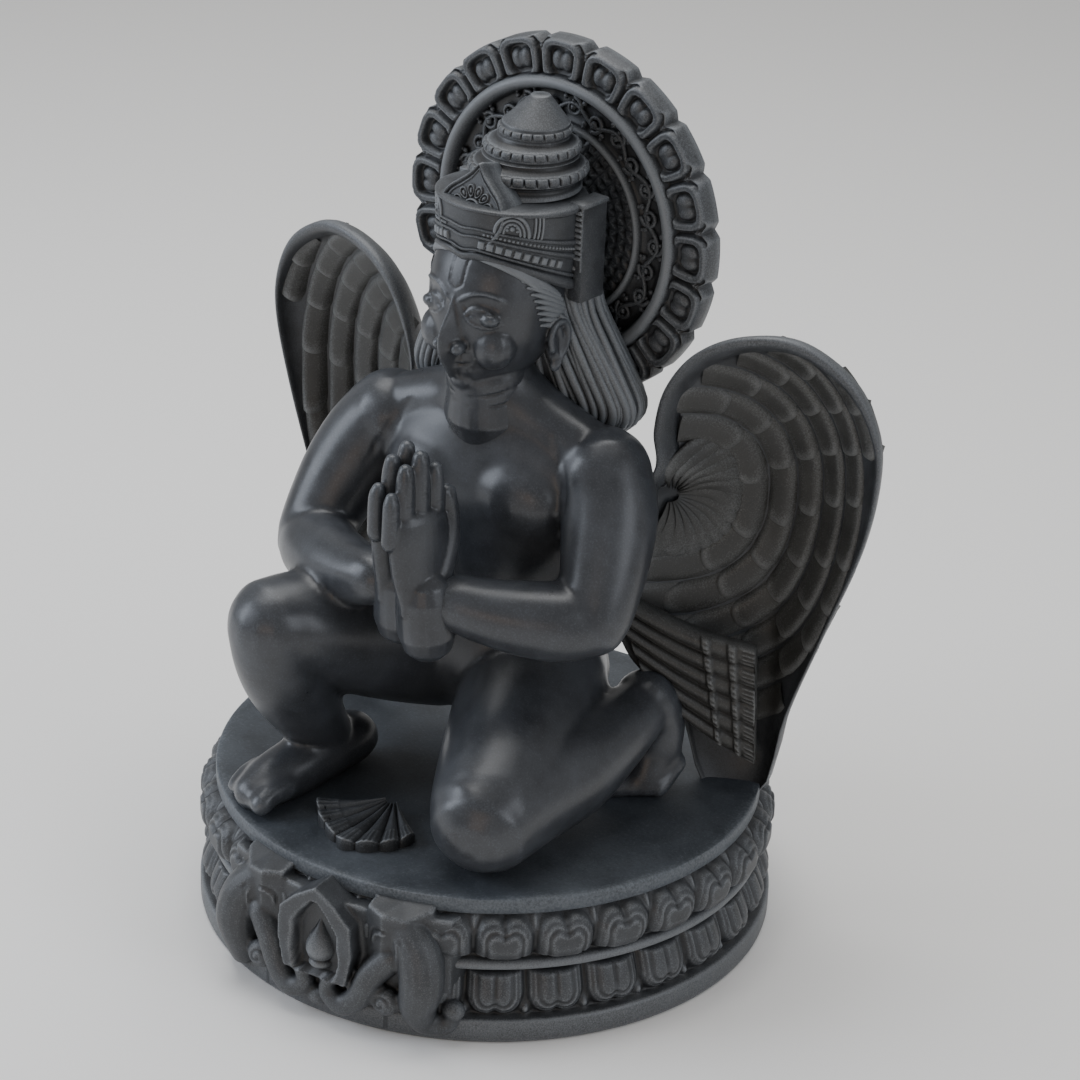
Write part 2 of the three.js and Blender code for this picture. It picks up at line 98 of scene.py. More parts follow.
def placeLights(rig):
    for name, lamp in rig.items():
        if "power" not in lamp:
            continue
        data = bpy.data.lights.new(name, "AREA")
        data.shape = "RECTANGLE"
        data.size, data.size_y = lamp["size"]
        data.energy = lamp["power"]
        data.color = fromHex(lamp["colour"])[:3]
        lampObject = bpy.data.objects.new(name, data)
        lampObject.location = lamp["at"]
        aim = Vector((0, 0, 0.35)) - Vector(lamp["at"])
        lampObject.rotation_euler = aim.to_track_quat("-Z", "Y").to_euler()
        bpy.context.collection.objects.link(lampObject)
    world = bpy.data.worlds.new("studio")
    world.use_nodes = True
    world.node_tree.nodes["Background"].inputs[0].default_value = fromHex(rig["room"]["colour"])
    world.node_tree.nodes["Background"].inputs[1].default_value = rig["room"]["strength"]
    bpy.context.scene.world = world


def addNode(tree, kind, settings=None, links=None):
    node = tree.nodes.new(kind)
    for key, value in (settings or {}).items():
        if isinstance(key, str) and hasattr(node, key):
            setattr(node, key, value)
        else:
            node.inputs[key].default_value = value
    for socket, source in (links or {}).items():
        tree.links.new(source, node.inputs[socket])
    return node


def newMaterial(name):
    material = bpy.data.materials.new(name)
    material.use_nodes = True
    tree = material.node_tree
    tree.nodes.clear()
    return material, tree


def placeFloor(f):
    material, tree = newMaterial("paintedStudioFloor")
    shader = addNode(tree, "ShaderNodeBsdfPrincipled",
                     {"Base Color": fromHex(f["colour"]), "Roughness": f["roughness"]})
    addNode(tree, "ShaderNodeOutputMaterial", None, {"Surface": shader.outputs[0]})
    h = f["half"]
    mesh = bpy.data.meshes.new("floor")
    mesh.from_pydata([(-h, -h, 0), (h, -h, 0), (h, h, 0), (-h, h, 0)], [], [(0, 1, 2, 3)])
    mesh.materials.append(material)
    floor = bpy.data.objects.new("floor", mesh)
    bpy.context.collection.objects.link(floor)


placeCamera(view)
placeLights(lighting)
placeFloor(lighting["floor"])
print("camera, lights and floor placed")


# Stone. One dark soapstone block, cut with chisels, the skin rubbed smooth and oiled.

# deep is a painted shade colour for the cuts and hollows; worn is real wear on the edges
stone = {
    "oiledSkin": {          # rubbed to a soft gloss: broad bluish lights, almost no grain
        "deep": "#1b1c1f", "body": "#2d2f33", "light": "#3d4045", "worn": "#585d63",
        "gloss": (0.27, 0.40), "grainMm": 1.6, "grainDepth": 0.05, "mottleMm": 38.0,
    },
    "chiselledRelief": {    # left from the chisel and dry: greyer on the edges from wear, darkened in the cuts by painted shade
        "deep": "#121315", "body": "#2c2e31", "light": "#404347", "worn": "#74787c",
        "gloss": (0.38, 0.56), "grainMm": 1.2, "grainDepth": 0.16, "mottleMm": 24.0,
    },
    "stippledGround": {     # fine punched ground of the plinth's top: matte, blue-grey, pale flecks
        "deep": "#1a1d21", "body": "#30353b", "light": "#4a5057", "worn": "#6f757b",
        "gloss": (0.44, 0.62), "grainMm": 2.2, "grainDepth": 0.30, "mottleMm": 60.0,
    },
    "dryFeather": {         # cupped wings, out of reach of the oil: warm grey-black and matte
        "deep": "#111110", "body": "#2a2a29", "light": "#3a3a38", "worn": "#6c6e6e",
        "gloss": (0.42, 0.58), "grainMm": 1.3, "grainDepth": 0.14, "mottleMm": 30.0,
    },
}


def makeStone(name, s):
    material, tree = newMaterial(name)
    place = addNode(tree, "ShaderNodeTexCoord")
    where = place.outputs["Object"]
    perMetre = 1 / mm
    mottle = addNode(tree, "ShaderNodeTexNoise",
                     {"Scale": perMetre / s["mottleMm"], "Detail": 5.0, "Roughness": 0.62}, {"Vector": where})
    grain = addNode(tree, "ShaderNodeTexNoise",
                    {"Scale": perMetre / s["grainMm"], "Detail": 3.0, "Roughness": 0.7}, {"Vector": where})
    tone = addNode(tree, "ShaderNodeValToRGB", None, {"Fac": mottle.outputs["Fac"]})
    tone.color_ramp.elements[0].position = 0.32
    tone.color_ramp.elements[0].color = fromHex(s["body"])
    tone.color_ramp.elements[1].position = 0.68
    tone.color_ramp.elements[1].color = fromHex(s["light"])
    wearAndCreaseShade = addNode(tree, "ShaderNodeAttribute", {"attribute_name": "wearAndCreaseShade"})  # 0 in cuts, where painted shade goes; 1 on edges, where wear goes
    broken = addNode(tree, "ShaderNodeMath", {"operation": "MULTIPLY_ADD", 1: 0.9, 2: -0.45},
                     {0: grain.outputs["Fac"]})
    edge = addNode(tree, "ShaderNodeMath", {"operation": "ADD"}, {0: wearAndCreaseShade.outputs["Fac"], 1: broken.outputs[0]})
    high = addNode(tree, "ShaderNodeMapRange", {"From Min": 0.56, "From Max": 0.95, "To Max": 0.85},
                   {"Value": edge.outputs[0]})
    # painted shade: the deep colour darkens the surface where it is cut in
    low = addNode(tree, "ShaderNodeMapRange", {"From Min": 0.46, "From Max": 0.12, "To Max": 0.9},
                  {"Value": edge.outputs[0]})
    worn = addNode(tree, "ShaderNodeMix", {"data_type": "RGBA"}, {0: high.outputs[0], 6: tone.outputs["Color"]})
    worn.inputs[7].default_value = fromHex(s["worn"])
    deep = addNode(tree, "ShaderNodeMix", {"data_type": "RGBA"}, {0: low.outputs[0], 6: worn.outputs[2]})
    deep.inputs[7].default_value = fromHex(s["deep"])
    gloss = addNode(tree, "ShaderNodeMapRange",
                    {"From Min": 0.3, "From Max": 0.7, "To Min": s["gloss"][0], "To Max": s["gloss"][1]},
                    {"Value": mottle.outputs["Fac"]})
    bump = addNode(tree, "ShaderNodeBump", {"Strength": 0.6, "Distance": s["grainDepth"] * mm},
                   {"Height": grain.outputs["Fac"]})
    shader = addNode(tree, "ShaderNodeBsdfPrincipled", {"IOR": 1.54},
                     {"Base Color": deep.outputs[2], "Roughness": gloss.outputs[0], "Normal": bump.outputs[0]})
    addNode(tree, "ShaderNodeOutputMaterial", None, {"Surface": shader.outputs[0]})
    return material


finish = {name: makeStone(name, s) for name, s in stone.items()}
print("stone materials made")


# Mesh tools. A form is a pair of arrays, points in millimetres and four-cornered faces.
# A face whose last two corners are the same is a triangle.

def unit(v):
    v = np.asarray(v, float)
    return v / np.maximum(np.linalg.norm(v, axis=-1, keepdims=True), 1e-12)


def join(forms):
    points, faces, start = [], [], 0
    for p, f in forms:
        points.append(p)
        faces.append(f + start)
        start += len(p)
    return np.concatenate(points), np.concatenate(faces)


# closed form with its faces turned outwards
def outward(form):
    points, faces = form
    p = points - points.mean(0)
    a, b, c, d = (p[faces[:, k]] for k in range(4))
    volume = np.sum(a * np.cross(b, c)) + np.sum(a * np.cross(c, d))
    return (points, faces[:, [1, 0, 3, 2]]) if volume < 0 else form


# open sheet with its faces turned towards a direction
def facing(form, direction):
    points, faces = form
    a = points[faces[:, 2]] - points[faces[:, 0]]
    b = points[faces[:, 3]] - points[faces[:, 1]]
    return (points, faces[:, [1, 0, 3, 2]]) if np.sum(np.cross(a, b) @ np.asarray(direction, float)) < 0 else form


# grid of points, rows by columns; wrap closes each row
def sheetOf(grid, wrap=False, capStart=False, capEnd=False):
    rows, cols = grid.shape[:2]
    i, j = np.meshgrid(np.arange(rows - 1), np.arange(cols if wrap else cols - 1), indexing="ij")
    k = (j + 1) % cols
    faces = [np.stack([i * cols + j, i * cols + k, (i + 1) * cols + k, (i + 1) * cols + j], -1).reshape(-1, 4)]
    points = [grid.reshape(-1, 3)]
    extra = rows * cols
    ring = np.arange(cols)
    after = (ring + 1) % cols
    for wanted, row in ((capStart, 0), (capEnd, rows - 1)):
        if not wanted:
            continue
        points.append(grid[row].mean(0)[None])
        tip = np.full(cols, extra)
        base = row * cols
        pair = [base + after, base + ring] if row == 0 else [base + ring, base + after]
        faces.append(np.stack([pair[0], pair[1], tip, tip], -1))
        extra += 1
    return np.concatenate(points), np.concatenate(faces)


# smooth curve through knots of any width
def spline(knots, count):
    k = np.asarray(knots, float)
    if len(k) == 2:
        return k[0] + (k[1] - k[0]) * np.linspace(0, 1, count)[:, None]
    k = np.vstack([2 * k[0] - k[1], k, 2 * k[-1] - k[-2]])
    t = np.linspace(0, len(k) - 3 - 1e-9, count)
    i = t.astype(int)
    u = (t - i)[:, None]
    a, b, c, d = k[i], k[i + 1], k[i + 2], k[i + 3]
    return 0.5 * (2 * b + (c - a) * u + (2 * a - 5 * b + 4 * c - d) * u ** 2 + (3 * b - a - 3 * c + d) * u ** 3)


# round limb through knots [x, y, z, radius], with rounded ends
def tube(knots, count=12, sides=16, flat=1.0, side=None, ends=(1.0, 1.0), smooth=True):
    line = spline(knots, count) if smooth else np.asarray(knots, float)
    centre, radius = line[:, :3], line[:, 3]
    tangent = unit(np.gradient(centre, axis=0))
    if side is None:
        side = [0, 0, 1] if abs(tangent[0][2]) < 0.8 else [0, 1, 0]
    across = np.empty_like(tangent)
    last = np.asarray(side, float)
    for n, t in enumerate(tangent):
        last = unit(last - t * np.dot(last, t))
        across[n] = last
    up = np.cross(tangent, across)
    cap = np.radians([80, 60, 35])
    rows = [(0, -ends[0] * math.sin(a), math.cos(a)) for a in cap]
    rows += [(n, 0, 1) for n in range(len(centre))]
    rows += [(len(centre) - 1, ends[1] * math.sin(a), math.cos(a)) for a in cap[::-1]]
    turn = np.linspace(0, 2 * np.pi, sides, endpoint=False)
    rings = []
    for n, ahead, shrink in rows:
        mid = centre[n] + tangent[n] * ahead * radius[n]
        r = radius[n] * shrink
        rings.append(mid + np.cos(turn)[:, None] * up[n] * r + np.sin(turn)[:, None] * across[n] * r * flat)
    return outward(sheetOf(np.array(rings), True, True, True))


def ball(centre, size, rows=9, cols=14, axes=None):
    v = np.linspace(0, np.pi, rows + 2)[1:-1]
    u = np.linspace(0, 2 * np.pi, cols, endpoint=False)
    x = np.sin(v)[:, None] * np.cos(u)[None]
    y = np.sin(v)[:, None] * np.sin(u)[None]
    z = np.repeat(np.cos(v)[:, None], cols, 1)
    grid = np.stack([x, y, z], -1) * np.broadcast_to(np.asarray(size, float), (3,))
    if axes is not None:
        grid = grid @ np.asarray(axes, float)
    return outward(sheetOf(grid + np.asarray(centre, float), True, True, True))


# level oval sections [z, x, y, half width, depth to the front, depth to the back, squareness]
def rings(sections, cols=64, rows=None):
    s = spline(sections, rows or len(sections) * 6)
    a = np.linspace(0, 2 * np.pi, cols, endpoint=False)[None]
    power = lambda v, q: np.sign(v) * np.abs(v) ** (2 / q)
    z, x, y, wide, front, back, square = (s[:, k:k + 1] for k in range(7))
    sine = power(np.sin(a), square)
    grid = np.stack([x + wide * power(np.cos(a), square), y + sine * np.where(sine < 0, front, back),
                     z + 0 * a], -1)
    return sheetOf(grid, True, True, True)


def moved(form, turn=0, about=(0, 0), shift=(0, 0, 0), mirror=False):
    points, faces = form
    p = points.copy()
    if mirror:
        p[:, 0] *= -1
        faces = faces[:, [1, 0, 3, 2]]
    c, s = math.cos(math.radians(turn)), math.sin(math.radians(turn))
    x, y = p[:, 0] - about[0], p[:, 1] - about[1]
    p[:, 0], p[:, 1] = about[0] + x * c - y * s, about[1] + x * s + y * c
    return p + np.asarray(shift, float), faces


def bareMesh(name, form):
    points, faces = form
    mesh = bpy.data.meshes.new(name)
    three = faces[:, 2] == faces[:, 3]
    loops = np.where(three, 3, 4)
    flatList = faces[np.arange(4)[None] < loops[:, None]]
    starts = np.concatenate([[0], np.cumsum(loops)[:-1]])
    mesh.vertices.add(len(points))
    mesh.vertices.foreach_set("co", (points * mm).astype(np.float32).ravel())
    mesh.loops.add(len(flatList))
    mesh.loops.foreach_set("vertex_index", flatList.astype(np.int32))
    mesh.polygons.add(len(faces))
    mesh.polygons.foreach_set("loop_start", starts.astype(np.int32))
    mesh.update(calc_edges=True)
    mesh.validate()
    return mesh


# one skin round overlapping closed forms, then rubbed smooth
def fused(form, voxel, settle=4):
    mesh = bareMesh("rough", form)
    rough = bpy.data.objects.new("rough", mesh)
    bpy.context.collection.objects.link(rough)
    remesh = rough.modifiers.new("skin", "REMESH")
    remesh.mode = "VOXEL"
    remesh.voxel_size = voxel * mm
    skin = bpy.data.meshes.new_from_object(rough.evaluated_get(bpy.context.evaluated_depsgraph_get()))
    count = len(skin.vertices)
    points = np.empty(count * 3, np.float32)
    skin.vertices.foreach_get("co", points)
    sizes = np.empty(len(skin.polygons), np.int32)
    skin.polygons.foreach_get("loop_total", sizes)
    corners = np.empty(len(skin.loops), np.int32)
    skin.loops.foreach_get("vertex_index", corners)
    faces = np.empty((len(sizes), 4), np.int64)
    starts = np.concatenate([[0], np.cumsum(sizes)[:-1]])
    for k in range(4):
        faces[:, k] = corners[starts + np.minimum(k, sizes - 1)]
    bpy.data.objects.remove(rough)
    bpy.data.meshes.remove(skin)
    bpy.data.meshes.remove(mesh)
    points = points.reshape(-1, 3).astype(float) / mm
    return rubbed((points, faces), settle), faces


def edgesOf(faces):
    pairs = np.concatenate([faces[:, [0, 1]], faces[:, [1, 2]], faces[:, [2, 3]], faces[:, [3, 0]]])
    pairs = pairs[pairs[:, 0] != pairs[:, 1]]
    return np.concatenate([pairs, pairs[:, ::-1]])


def neighbourMean(points, pairs):
    count = np.maximum(np.bincount(pairs[:, 0], minlength=len(points)), 1)
    total = np.stack([np.bincount(pairs[:, 0], points[pairs[:, 1], k], len(points)) for k in range(points.shape[1])], -1)
    return total / count[:, None]


def rubbed(form, times, share=0.5):
    points, faces = form
    pairs = edgesOf(faces)
    for _ in range(times):
        points = points + share * (neighbourMean(points, pairs) - points)
    return points


def normalsOf(points, faces):
    a = points[faces[:, 2]] - points[faces[:, 0]]
    b = points[faces[:, 3]] - points[faces[:, 1]]
    n = np.cross(a, b)
    total = np.zeros_like(points)
    for k in range(4):
        for axis in range(3):
            total[:, axis] += np.bincount(faces[:, k], n[:, axis], len(points))
    return unit(total)


def nearPath(points, path):
    best = np.full(len(points), np.inf)
    along = np.zeros(len(points))
    path = np.asarray(path, float)
    for n in range(len(path) - 1):
        a, b = path[n], path[n + 1]
        d = b - a
        t = np.clip((points - a) @ d / max(d @ d, 1e-9), 0, 1)
        gap = np.linalg.norm(points - a - t[:, None] * d, axis=1)
        closer = gap < best
        best[closer] = gap[closer]
        along[closer] = (n + t[closer]) / (len(path) - 1)
    return best, along


# strokes (path, width, depth): a positive depth raises, a negative one cuts; ends taper
def carve(form, strokes):
    points, faces = form
    points = points.copy()
    normals = normalsOf(points, faces)
    lift = np.zeros(len(points))
    for path, width, depth in strokes:
        path = spline(path, max(8, 4 * len(path)))
        inside = np.all((points > path.min(0) - width) & (points < path.max(0) + width), axis=1)
        index = np.nonzero(inside)[0]
        if not len(index):
            continue
        gap, along = nearPath(points[index], path)
        shape = np.clip(1 - (gap / width) ** 2, 0, None) ** 2
        taper = np.clip(np.minimum(along, 1 - along) * 6 + 0.25, 0, 1)
        lift[index] += depth * shape * taper
    return points + normals * lift[:, None], faces


# 0.5 on flats, towards 1 on edges, where the worn colour goes, and towards 0 in cuts, where painted shade goes
def wearAndCreaseShadeOf(points, faces):
    pairs = edgesOf(faces)
    mean = neighbourMean(points, pairs)
    spread = np.linalg.norm(points[pairs[:, 0]] - points[pairs[:, 1]], axis=1)
    reach = np.bincount(pairs[:, 0], spread, len(points)) / np.maximum(np.bincount(pairs[:, 0], minlength=len(points)), 1)
    bend = -np.sum((mean - points) * normalsOf(points, faces), 1) / np.maximum(reach, 1e-6)
    for _ in range(2):
        bend = 0.5 * bend + 0.5 * neighbourMean(bend[:, None], pairs)[:, 0]
    return np.clip(0.5 + 2.4 * bend, 0, 1)


# frame of three directions with the first along an axis and the last as near upright as it can be
def axesOf(axis, up=(0, 0, 1)):
    a = unit(axis)
    u = unit(np.asarray(up, float) - a * np.dot(a, up))
    return np.array([np.cross(u, a), a, u])  # across, out, up


# round form about an axis from a profile of (radius, height along the axis)
def lathe(centre, axis, profile, cols=40, up=(0, 0, 1), shape=None):
    across, out, rise = axesOf(axis, up)
    t = np.linspace(0, 2 * np.pi, cols, endpoint=False)
    rows = []
    for r, h in profile:
        radius = np.full(cols, float(r)) if shape is None else shape(t, r, h)
        rows.append(np.asarray(centre, float) + radius[:, None] * (np.sin(t)[:, None] * across + np.cos(t)[:, None] * rise)
                    + h * out)
    return outward(sheetOf(np.array(rows), True, True, True))


# small boss, few faces, for rows of beads: out is the direction it stands in
def bead(at, out, size, along=None, cols=8):
    across, outward3, rise = axesOf(out, (0, 0, 1) if along is None else along)
    sx, so, sy = np.broadcast_to(np.asarray(size, float), (3,))
    t = np.linspace(0, 2 * np.pi, cols, endpoint=False)
    rows = []
    for lift, wide in ((-0.35, 0.98), (0.25, 0.96), (0.75, 0.66)):
        rows.append(np.asarray(at, float) + so * lift * outward3
                    + wide * (sx * np.cos(t)[:, None] * across + sy * np.sin(t)[:, None] * rise))
    points, faces = sheetOf(np.array(rows), True, False, True)
    points[-1] += so * 0.25 * outward3
    return facing((points, faces), outward3)


# flat-topped square stud
def stud(at, out, size, along, height):
    across, outward3, rise = axesOf(out, along)
    rows = []
    for lift, wide in ((-0.6, 1.0), (0.55, 1.0), (1.0, 0.72)):
        corner = np.array([[-1, -1], [1, -1], [1, 1], [-1, 1]]) * wide
        rows.append(np.asarray(at, float) + height * lift * outward3 + corner[:, :1] * size[0] * across
                    + corner[:, 1:] * size[1] * rise)
    return facing(sheetOf(np.array(rows), True, False, True), outward3)


# evenly spaced places along a path: points and directions of travel
def spaced(path, gap):
    fine = spline(path, 60 * len(path)) if len(path) > 2 else spline(path, 100)
    length = np.concatenate([[0], np.cumsum(np.linalg.norm(np.diff(fine[:, :3], axis=0), axis=1))])
    count = max(2, int(round(length[-1] / gap)) + 1)
    where = np.linspace(0, length[-1], count)
    points = np.stack([np.interp(where, length, fine[:, k]) for k in range(fine.shape[1])], -1)
    return points, unit(np.gradient(points[:, :3], axis=0))


pieces = []


def makePiece(name, form, material, wearAndCreaseShade=None, sharp=None):
    points, faces = form
    mesh = bareMesh(name, form)
    # the attribute carries wear on the edges and painted shade in the cuts
    attribute = mesh.attributes.new("wearAndCreaseShade", "FLOAT", "POINT")
    values = wearAndCreaseShadeOf(points, faces) if wearAndCreaseShade is None else np.broadcast_to(wearAndCreaseShade, (len(points),))
    if len(mesh.vertices) == len(values):
        attribute.data.foreach_set("value", np.ascontiguousarray(values, np.float32))
    mesh.polygons.foreach_set("use_smooth", np.ones(len(mesh.polygons), bool))
    mesh.materials.append(finish[material])
    piece = bpy.data.objects.new(name, mesh)
    bpy.context.collection.objects.link(piece)
    if sharp:
        mesh.set_sharp_from_angle(angle=math.radians(sharp))
    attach(piece, "root")
    pieces.append(piece)
    print(name, len(mesh.polygons), "faces")
    return piece


# a fused form that ornament is laid on
class Skin:
    def __init__(self, *forms):
        points, faces = join(forms)
        self.tree = BVHTree.FromPolygons(points.tolist(), faces.tolist())

    def on(self, p, lift=0.0):
        at, normal, _, _ = self.tree.find_nearest(Vector(p))
        return np.array(at) + lift * np.array(normal), np.array(normal)

    # path laid on the form, with a lift off it and a radius for each knot
    def laid(self, path, lift, radius, gap=6.0):
        points, _ = spaced(path, gap)
        rows, outs = [], []
        for p in points:
            at, out = self.on(p[:3], lift)
            rows.append([*at, radius if np.isscalar(radius) else 0])
            outs.append(out)
        rows = np.array(rows)
        if not np.isscalar(radius):
            rows[:, 3] = np.interp(np.linspace(0, 1, len(rows)), np.linspace(0, 1, len(radius)), radius)
        return rows, np.array(outs)

    # row of beads along a path
    def beads(self, path, gap, size, lift=0.0):
        points, runs = spaced(path, gap)
        forms = []
        for p, run in zip(points, runs):
            at, out = self.on(p[:3], lift)
            forms.append(bead(at, out, size, run))
        return forms

    def cord(self, path, lift, radius, sides=7, gap=6.0):
        rows, _ = self.laid(path, lift, radius, gap)
        return tube(rows, len(rows) * 2, sides)

    def hit(self, start, direction):
        at, normal, _, _ = self.tree.ray_cast(Vector(start), Vector(direction).normalized())
        return None if at is None else (np.array(at), np.array(normal))


# Body, limbs and feet

body = {
    "voxel": 3.2,
    "trunk": [
        [184, 0, 10, 66, 40, 60, 2.2], [205, 0, 6, 84, 56, 66, 2.3], [232, 0, 0, 88, 66, 66, 2.4],
        [258, 0, -4, 80, 66, 62, 2.3], [284, 0, -5, 71, 60, 55, 2.2], [306, 0, -6, 70, 56, 52, 2.2],
        [335, 0, -7, 78, 52, 54, 2.3], [368, 0, -8, 89, 50, 58, 2.4], [400, 0, -8, 97, 50, 60, 2.5],
        [425, 0, -6, 97, 46, 56, 2.5], [445, 0, -5, 84, 40, 50, 2.4], [462, 0, -6, 56, 34, 42, 2.2],
    ],
    "armL": [[104, -4, 430, 38], [116, -14, 404, 40], [125, -32, 376, 38], [131, -50, 348, 34], [132, -62, 328, 32]],
    "forearmL": [[132, -60, 328, 31], [114, -78, 326, 33], [86, -97, 329, 31], [60, -112, 334, 27], [40, -121, 339, 24]],
    "armR": [[-108, -4, 426, 38], [-124, -12, 400, 40], [-136, -28, 372, 38], [-144, -46, 342, 34], [-147, -58, 320, 32]],
    "forearmR": [[-147, -56, 320, 31], [-128, -76, 322, 33], [-98, -98, 328, 31], [-64, -115, 334, 27], [-38, -125, 341, 24]],
    "thighL": [[48, 0, 226, 60], [62, -46, 214, 60], [80, -100, 198, 56], [92, -138, 184, 52], [97, -156, 178, 49]],
    "thighR": [[-48, -4, 232, 60], [-66, -48, 248, 58], [-88, -96, 266, 53], [-104, -138, 283, 46], [-113, -158, 290, 41]],
    "shinR": [[-113, -160, 289, 40], [-112, -157, 262, 38], [-109, -146, 236, 38], [-106, -130, 206, 33], [-102, -112, 178, 26], [-100, -102, 158, 24]],
    "shinL": [[97, -156, 178, 48], [106, -110, 182, 46], [116, -62, 186, 44], [126, -10, 196, 34], [132, 26, 206, 26]],
    "footR": [[-95, -74, 152, 23], [-97, -94, 153, 24], [-103, -130, 150, 24], [-112, -166, 144, 22], [-117, -184, 140, 17]],
    "heelL": [[132, 36, 212, 25], [134, 46, 190, 26], [135, 42, 162, 25], [137, 30, 144, 20]],
}


def makeBody(b):
    forms = [rings(b["trunk"], 72)]
    for name in ("armL", "forearmL", "armR", "forearmR", "thighL", "thighR", "shinL"):
        forms.append(tube(b[name], 24, 28))
    forms.append(tube(b["shinR"], 26, 28))
    forms.append(tube(b["footR"], 18, 24, flat=1.12, side=[1, 0, 0]))
    forms.append(tube(b["heelL"], 16, 24, flat=1.1, side=[1, 0, 0]))
    for hand in (-1, 1):
        forms.append(ball((hand * 40, -38, 400), (44, 24, 36)))            # chest
        forms.append(ball((hand * 104, -4, 428), (40, 40, 38)))            # shoulder cap
        forms.append(tube([[hand * 2, -10, 482, 36], [hand * 34, -5, 462, 30], [hand * 84, -4, 444, 26]], 12, 20))
        forms.append(ball((hand * 44, 30, 220), (50, 44, 46)))             # seat
    forms.append(tube([[-2, -9, 450, 38], [-3, -11, 480, 36], [-4, -12, 512, 35]], 10, 28))
    forms.append(ball((0, -34, 292), (50, 30, 40)))                        # belly
    forms.append(ball((-113, -163, 292), (38, 38, 36)))                    # raised knee
    toes = 5
    for n in range(toes):
        t = n / (toes - 1)
        thick = 10.5 - 3.2 * min(1, t * 1.6)
        x, y = -99 - 40 * t, -200 + 18 * t
        forms.append(tube([[x + 5, y + 30, 146, thick + 1], [x + 2, y + 12, 145, thick], [x, y, 129.5 + thick, thick]], 10, 14,
                          ends=(1, 0.8)))
        x, y = 119 + 38 * t, 0 + 22 * t
        forms.append(tube([[x + 2, y + 28, 152, thick + 1], [x + 1, y + 14, 143, thick + 0.5], [x, y, 135, thick - 1]], 10, 14,
                          side=[1, 0, 0], ends=(1, 0.8)))
    return fused(join(forms), b["voxel"], 5)


bodyForm = makeBody(body)
folds = []
for side in (-1, 1):  # cloth drawn over the shoulders, a few shallow folds running down to the armpit
    for n in range(4):
        folds.append(([[side * (62 + 9 * n), -22 + 5 * n, 468 - 6 * n], [side * (84 + 8 * n), -38 + 4 * n, 436 - 5 * n],
                       [side * (94 + 5 * n), -46, 404 - 4 * n]], 4.0, -1.3))
bodyForm = carve(bodyForm, folds)
skin = Skin(bodyForm)
bodyPiece = makePiece("garuda_body", bodyForm, "oiledSkin")
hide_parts("garuda_figure")


# Plinth: base band, long drooping petals, ring moulding, plump upper petals and a punched top

plinth = {
    "petals": 30, "samples": 28, "radius": 250.0, "topRadius": 236.0, "height": 129.0,
    "lower": {"from": 22.0, "to": 62.0, "turn": -1.5},
    "upper": {"from": 76.0, "to": 116.0, "turn": 0.0},
    "lineGap": 4.4, "lineDepth": 1.5, "lineWidth": 1.1,
}


def softMin(a, b, k):
    h = np.clip(0.5 + 0.5 * (b - a) / k, 0, 1)
    return b + (a - b) * h - k * h * (1 - h)


def dent(x, width):
    return np.exp(-(x / width) ** 2)


# height of one petal at x across and y up, both in millimetres
def petalLift(x, y, drooping, p):
    if drooping:
        edge = y - 1.5 - 11 * (np.abs(x) / 24) ** 3.2 - 3.0 * dent(x, 4)
    else:
        edge = 37 - y - 8 * (np.abs(x) / 24) ** 3 - 4.5 * dent(x, 5)
    inset = softMin(24.2 - np.abs(x), edge, 9.0)
    lift = 8.5 * (1 - np.exp(-np.clip(inset, 0, None) / 3.2)) + np.clip(inset, -3, 0) * 0.6
    for n in (1, 2):
        lift = lift - p["lineDepth"] * dent(inset - n * p["lineGap"], p["lineWidth"])
    pillow = np.clip((inset - 2 * p["lineGap"] - 1) / 7, 0, 1)
    lift = lift + 2.6 * pillow * (2 - pillow) * 0.8
    if drooping:
        lift = lift - 2.2 * dent(x, 1.6) * np.clip((y - 17) / 6, 0, 1)
        lift = lift + 4.5 * np.exp(-((26.2 - np.abs(x)) / 3.2) ** 2 - ((y - 4.5) / 4.5) ** 2)
    else:
        lift = lift - 1.6 * dent(x, 2.4) * np.clip((y - 18) / 8, 0, 1)
        lift = lift + 3.0 * np.exp(-((26.2 - np.abs(x)) / 2.6) ** 2) * np.clip((y - 16) / 14, 0, 1)
    return lift


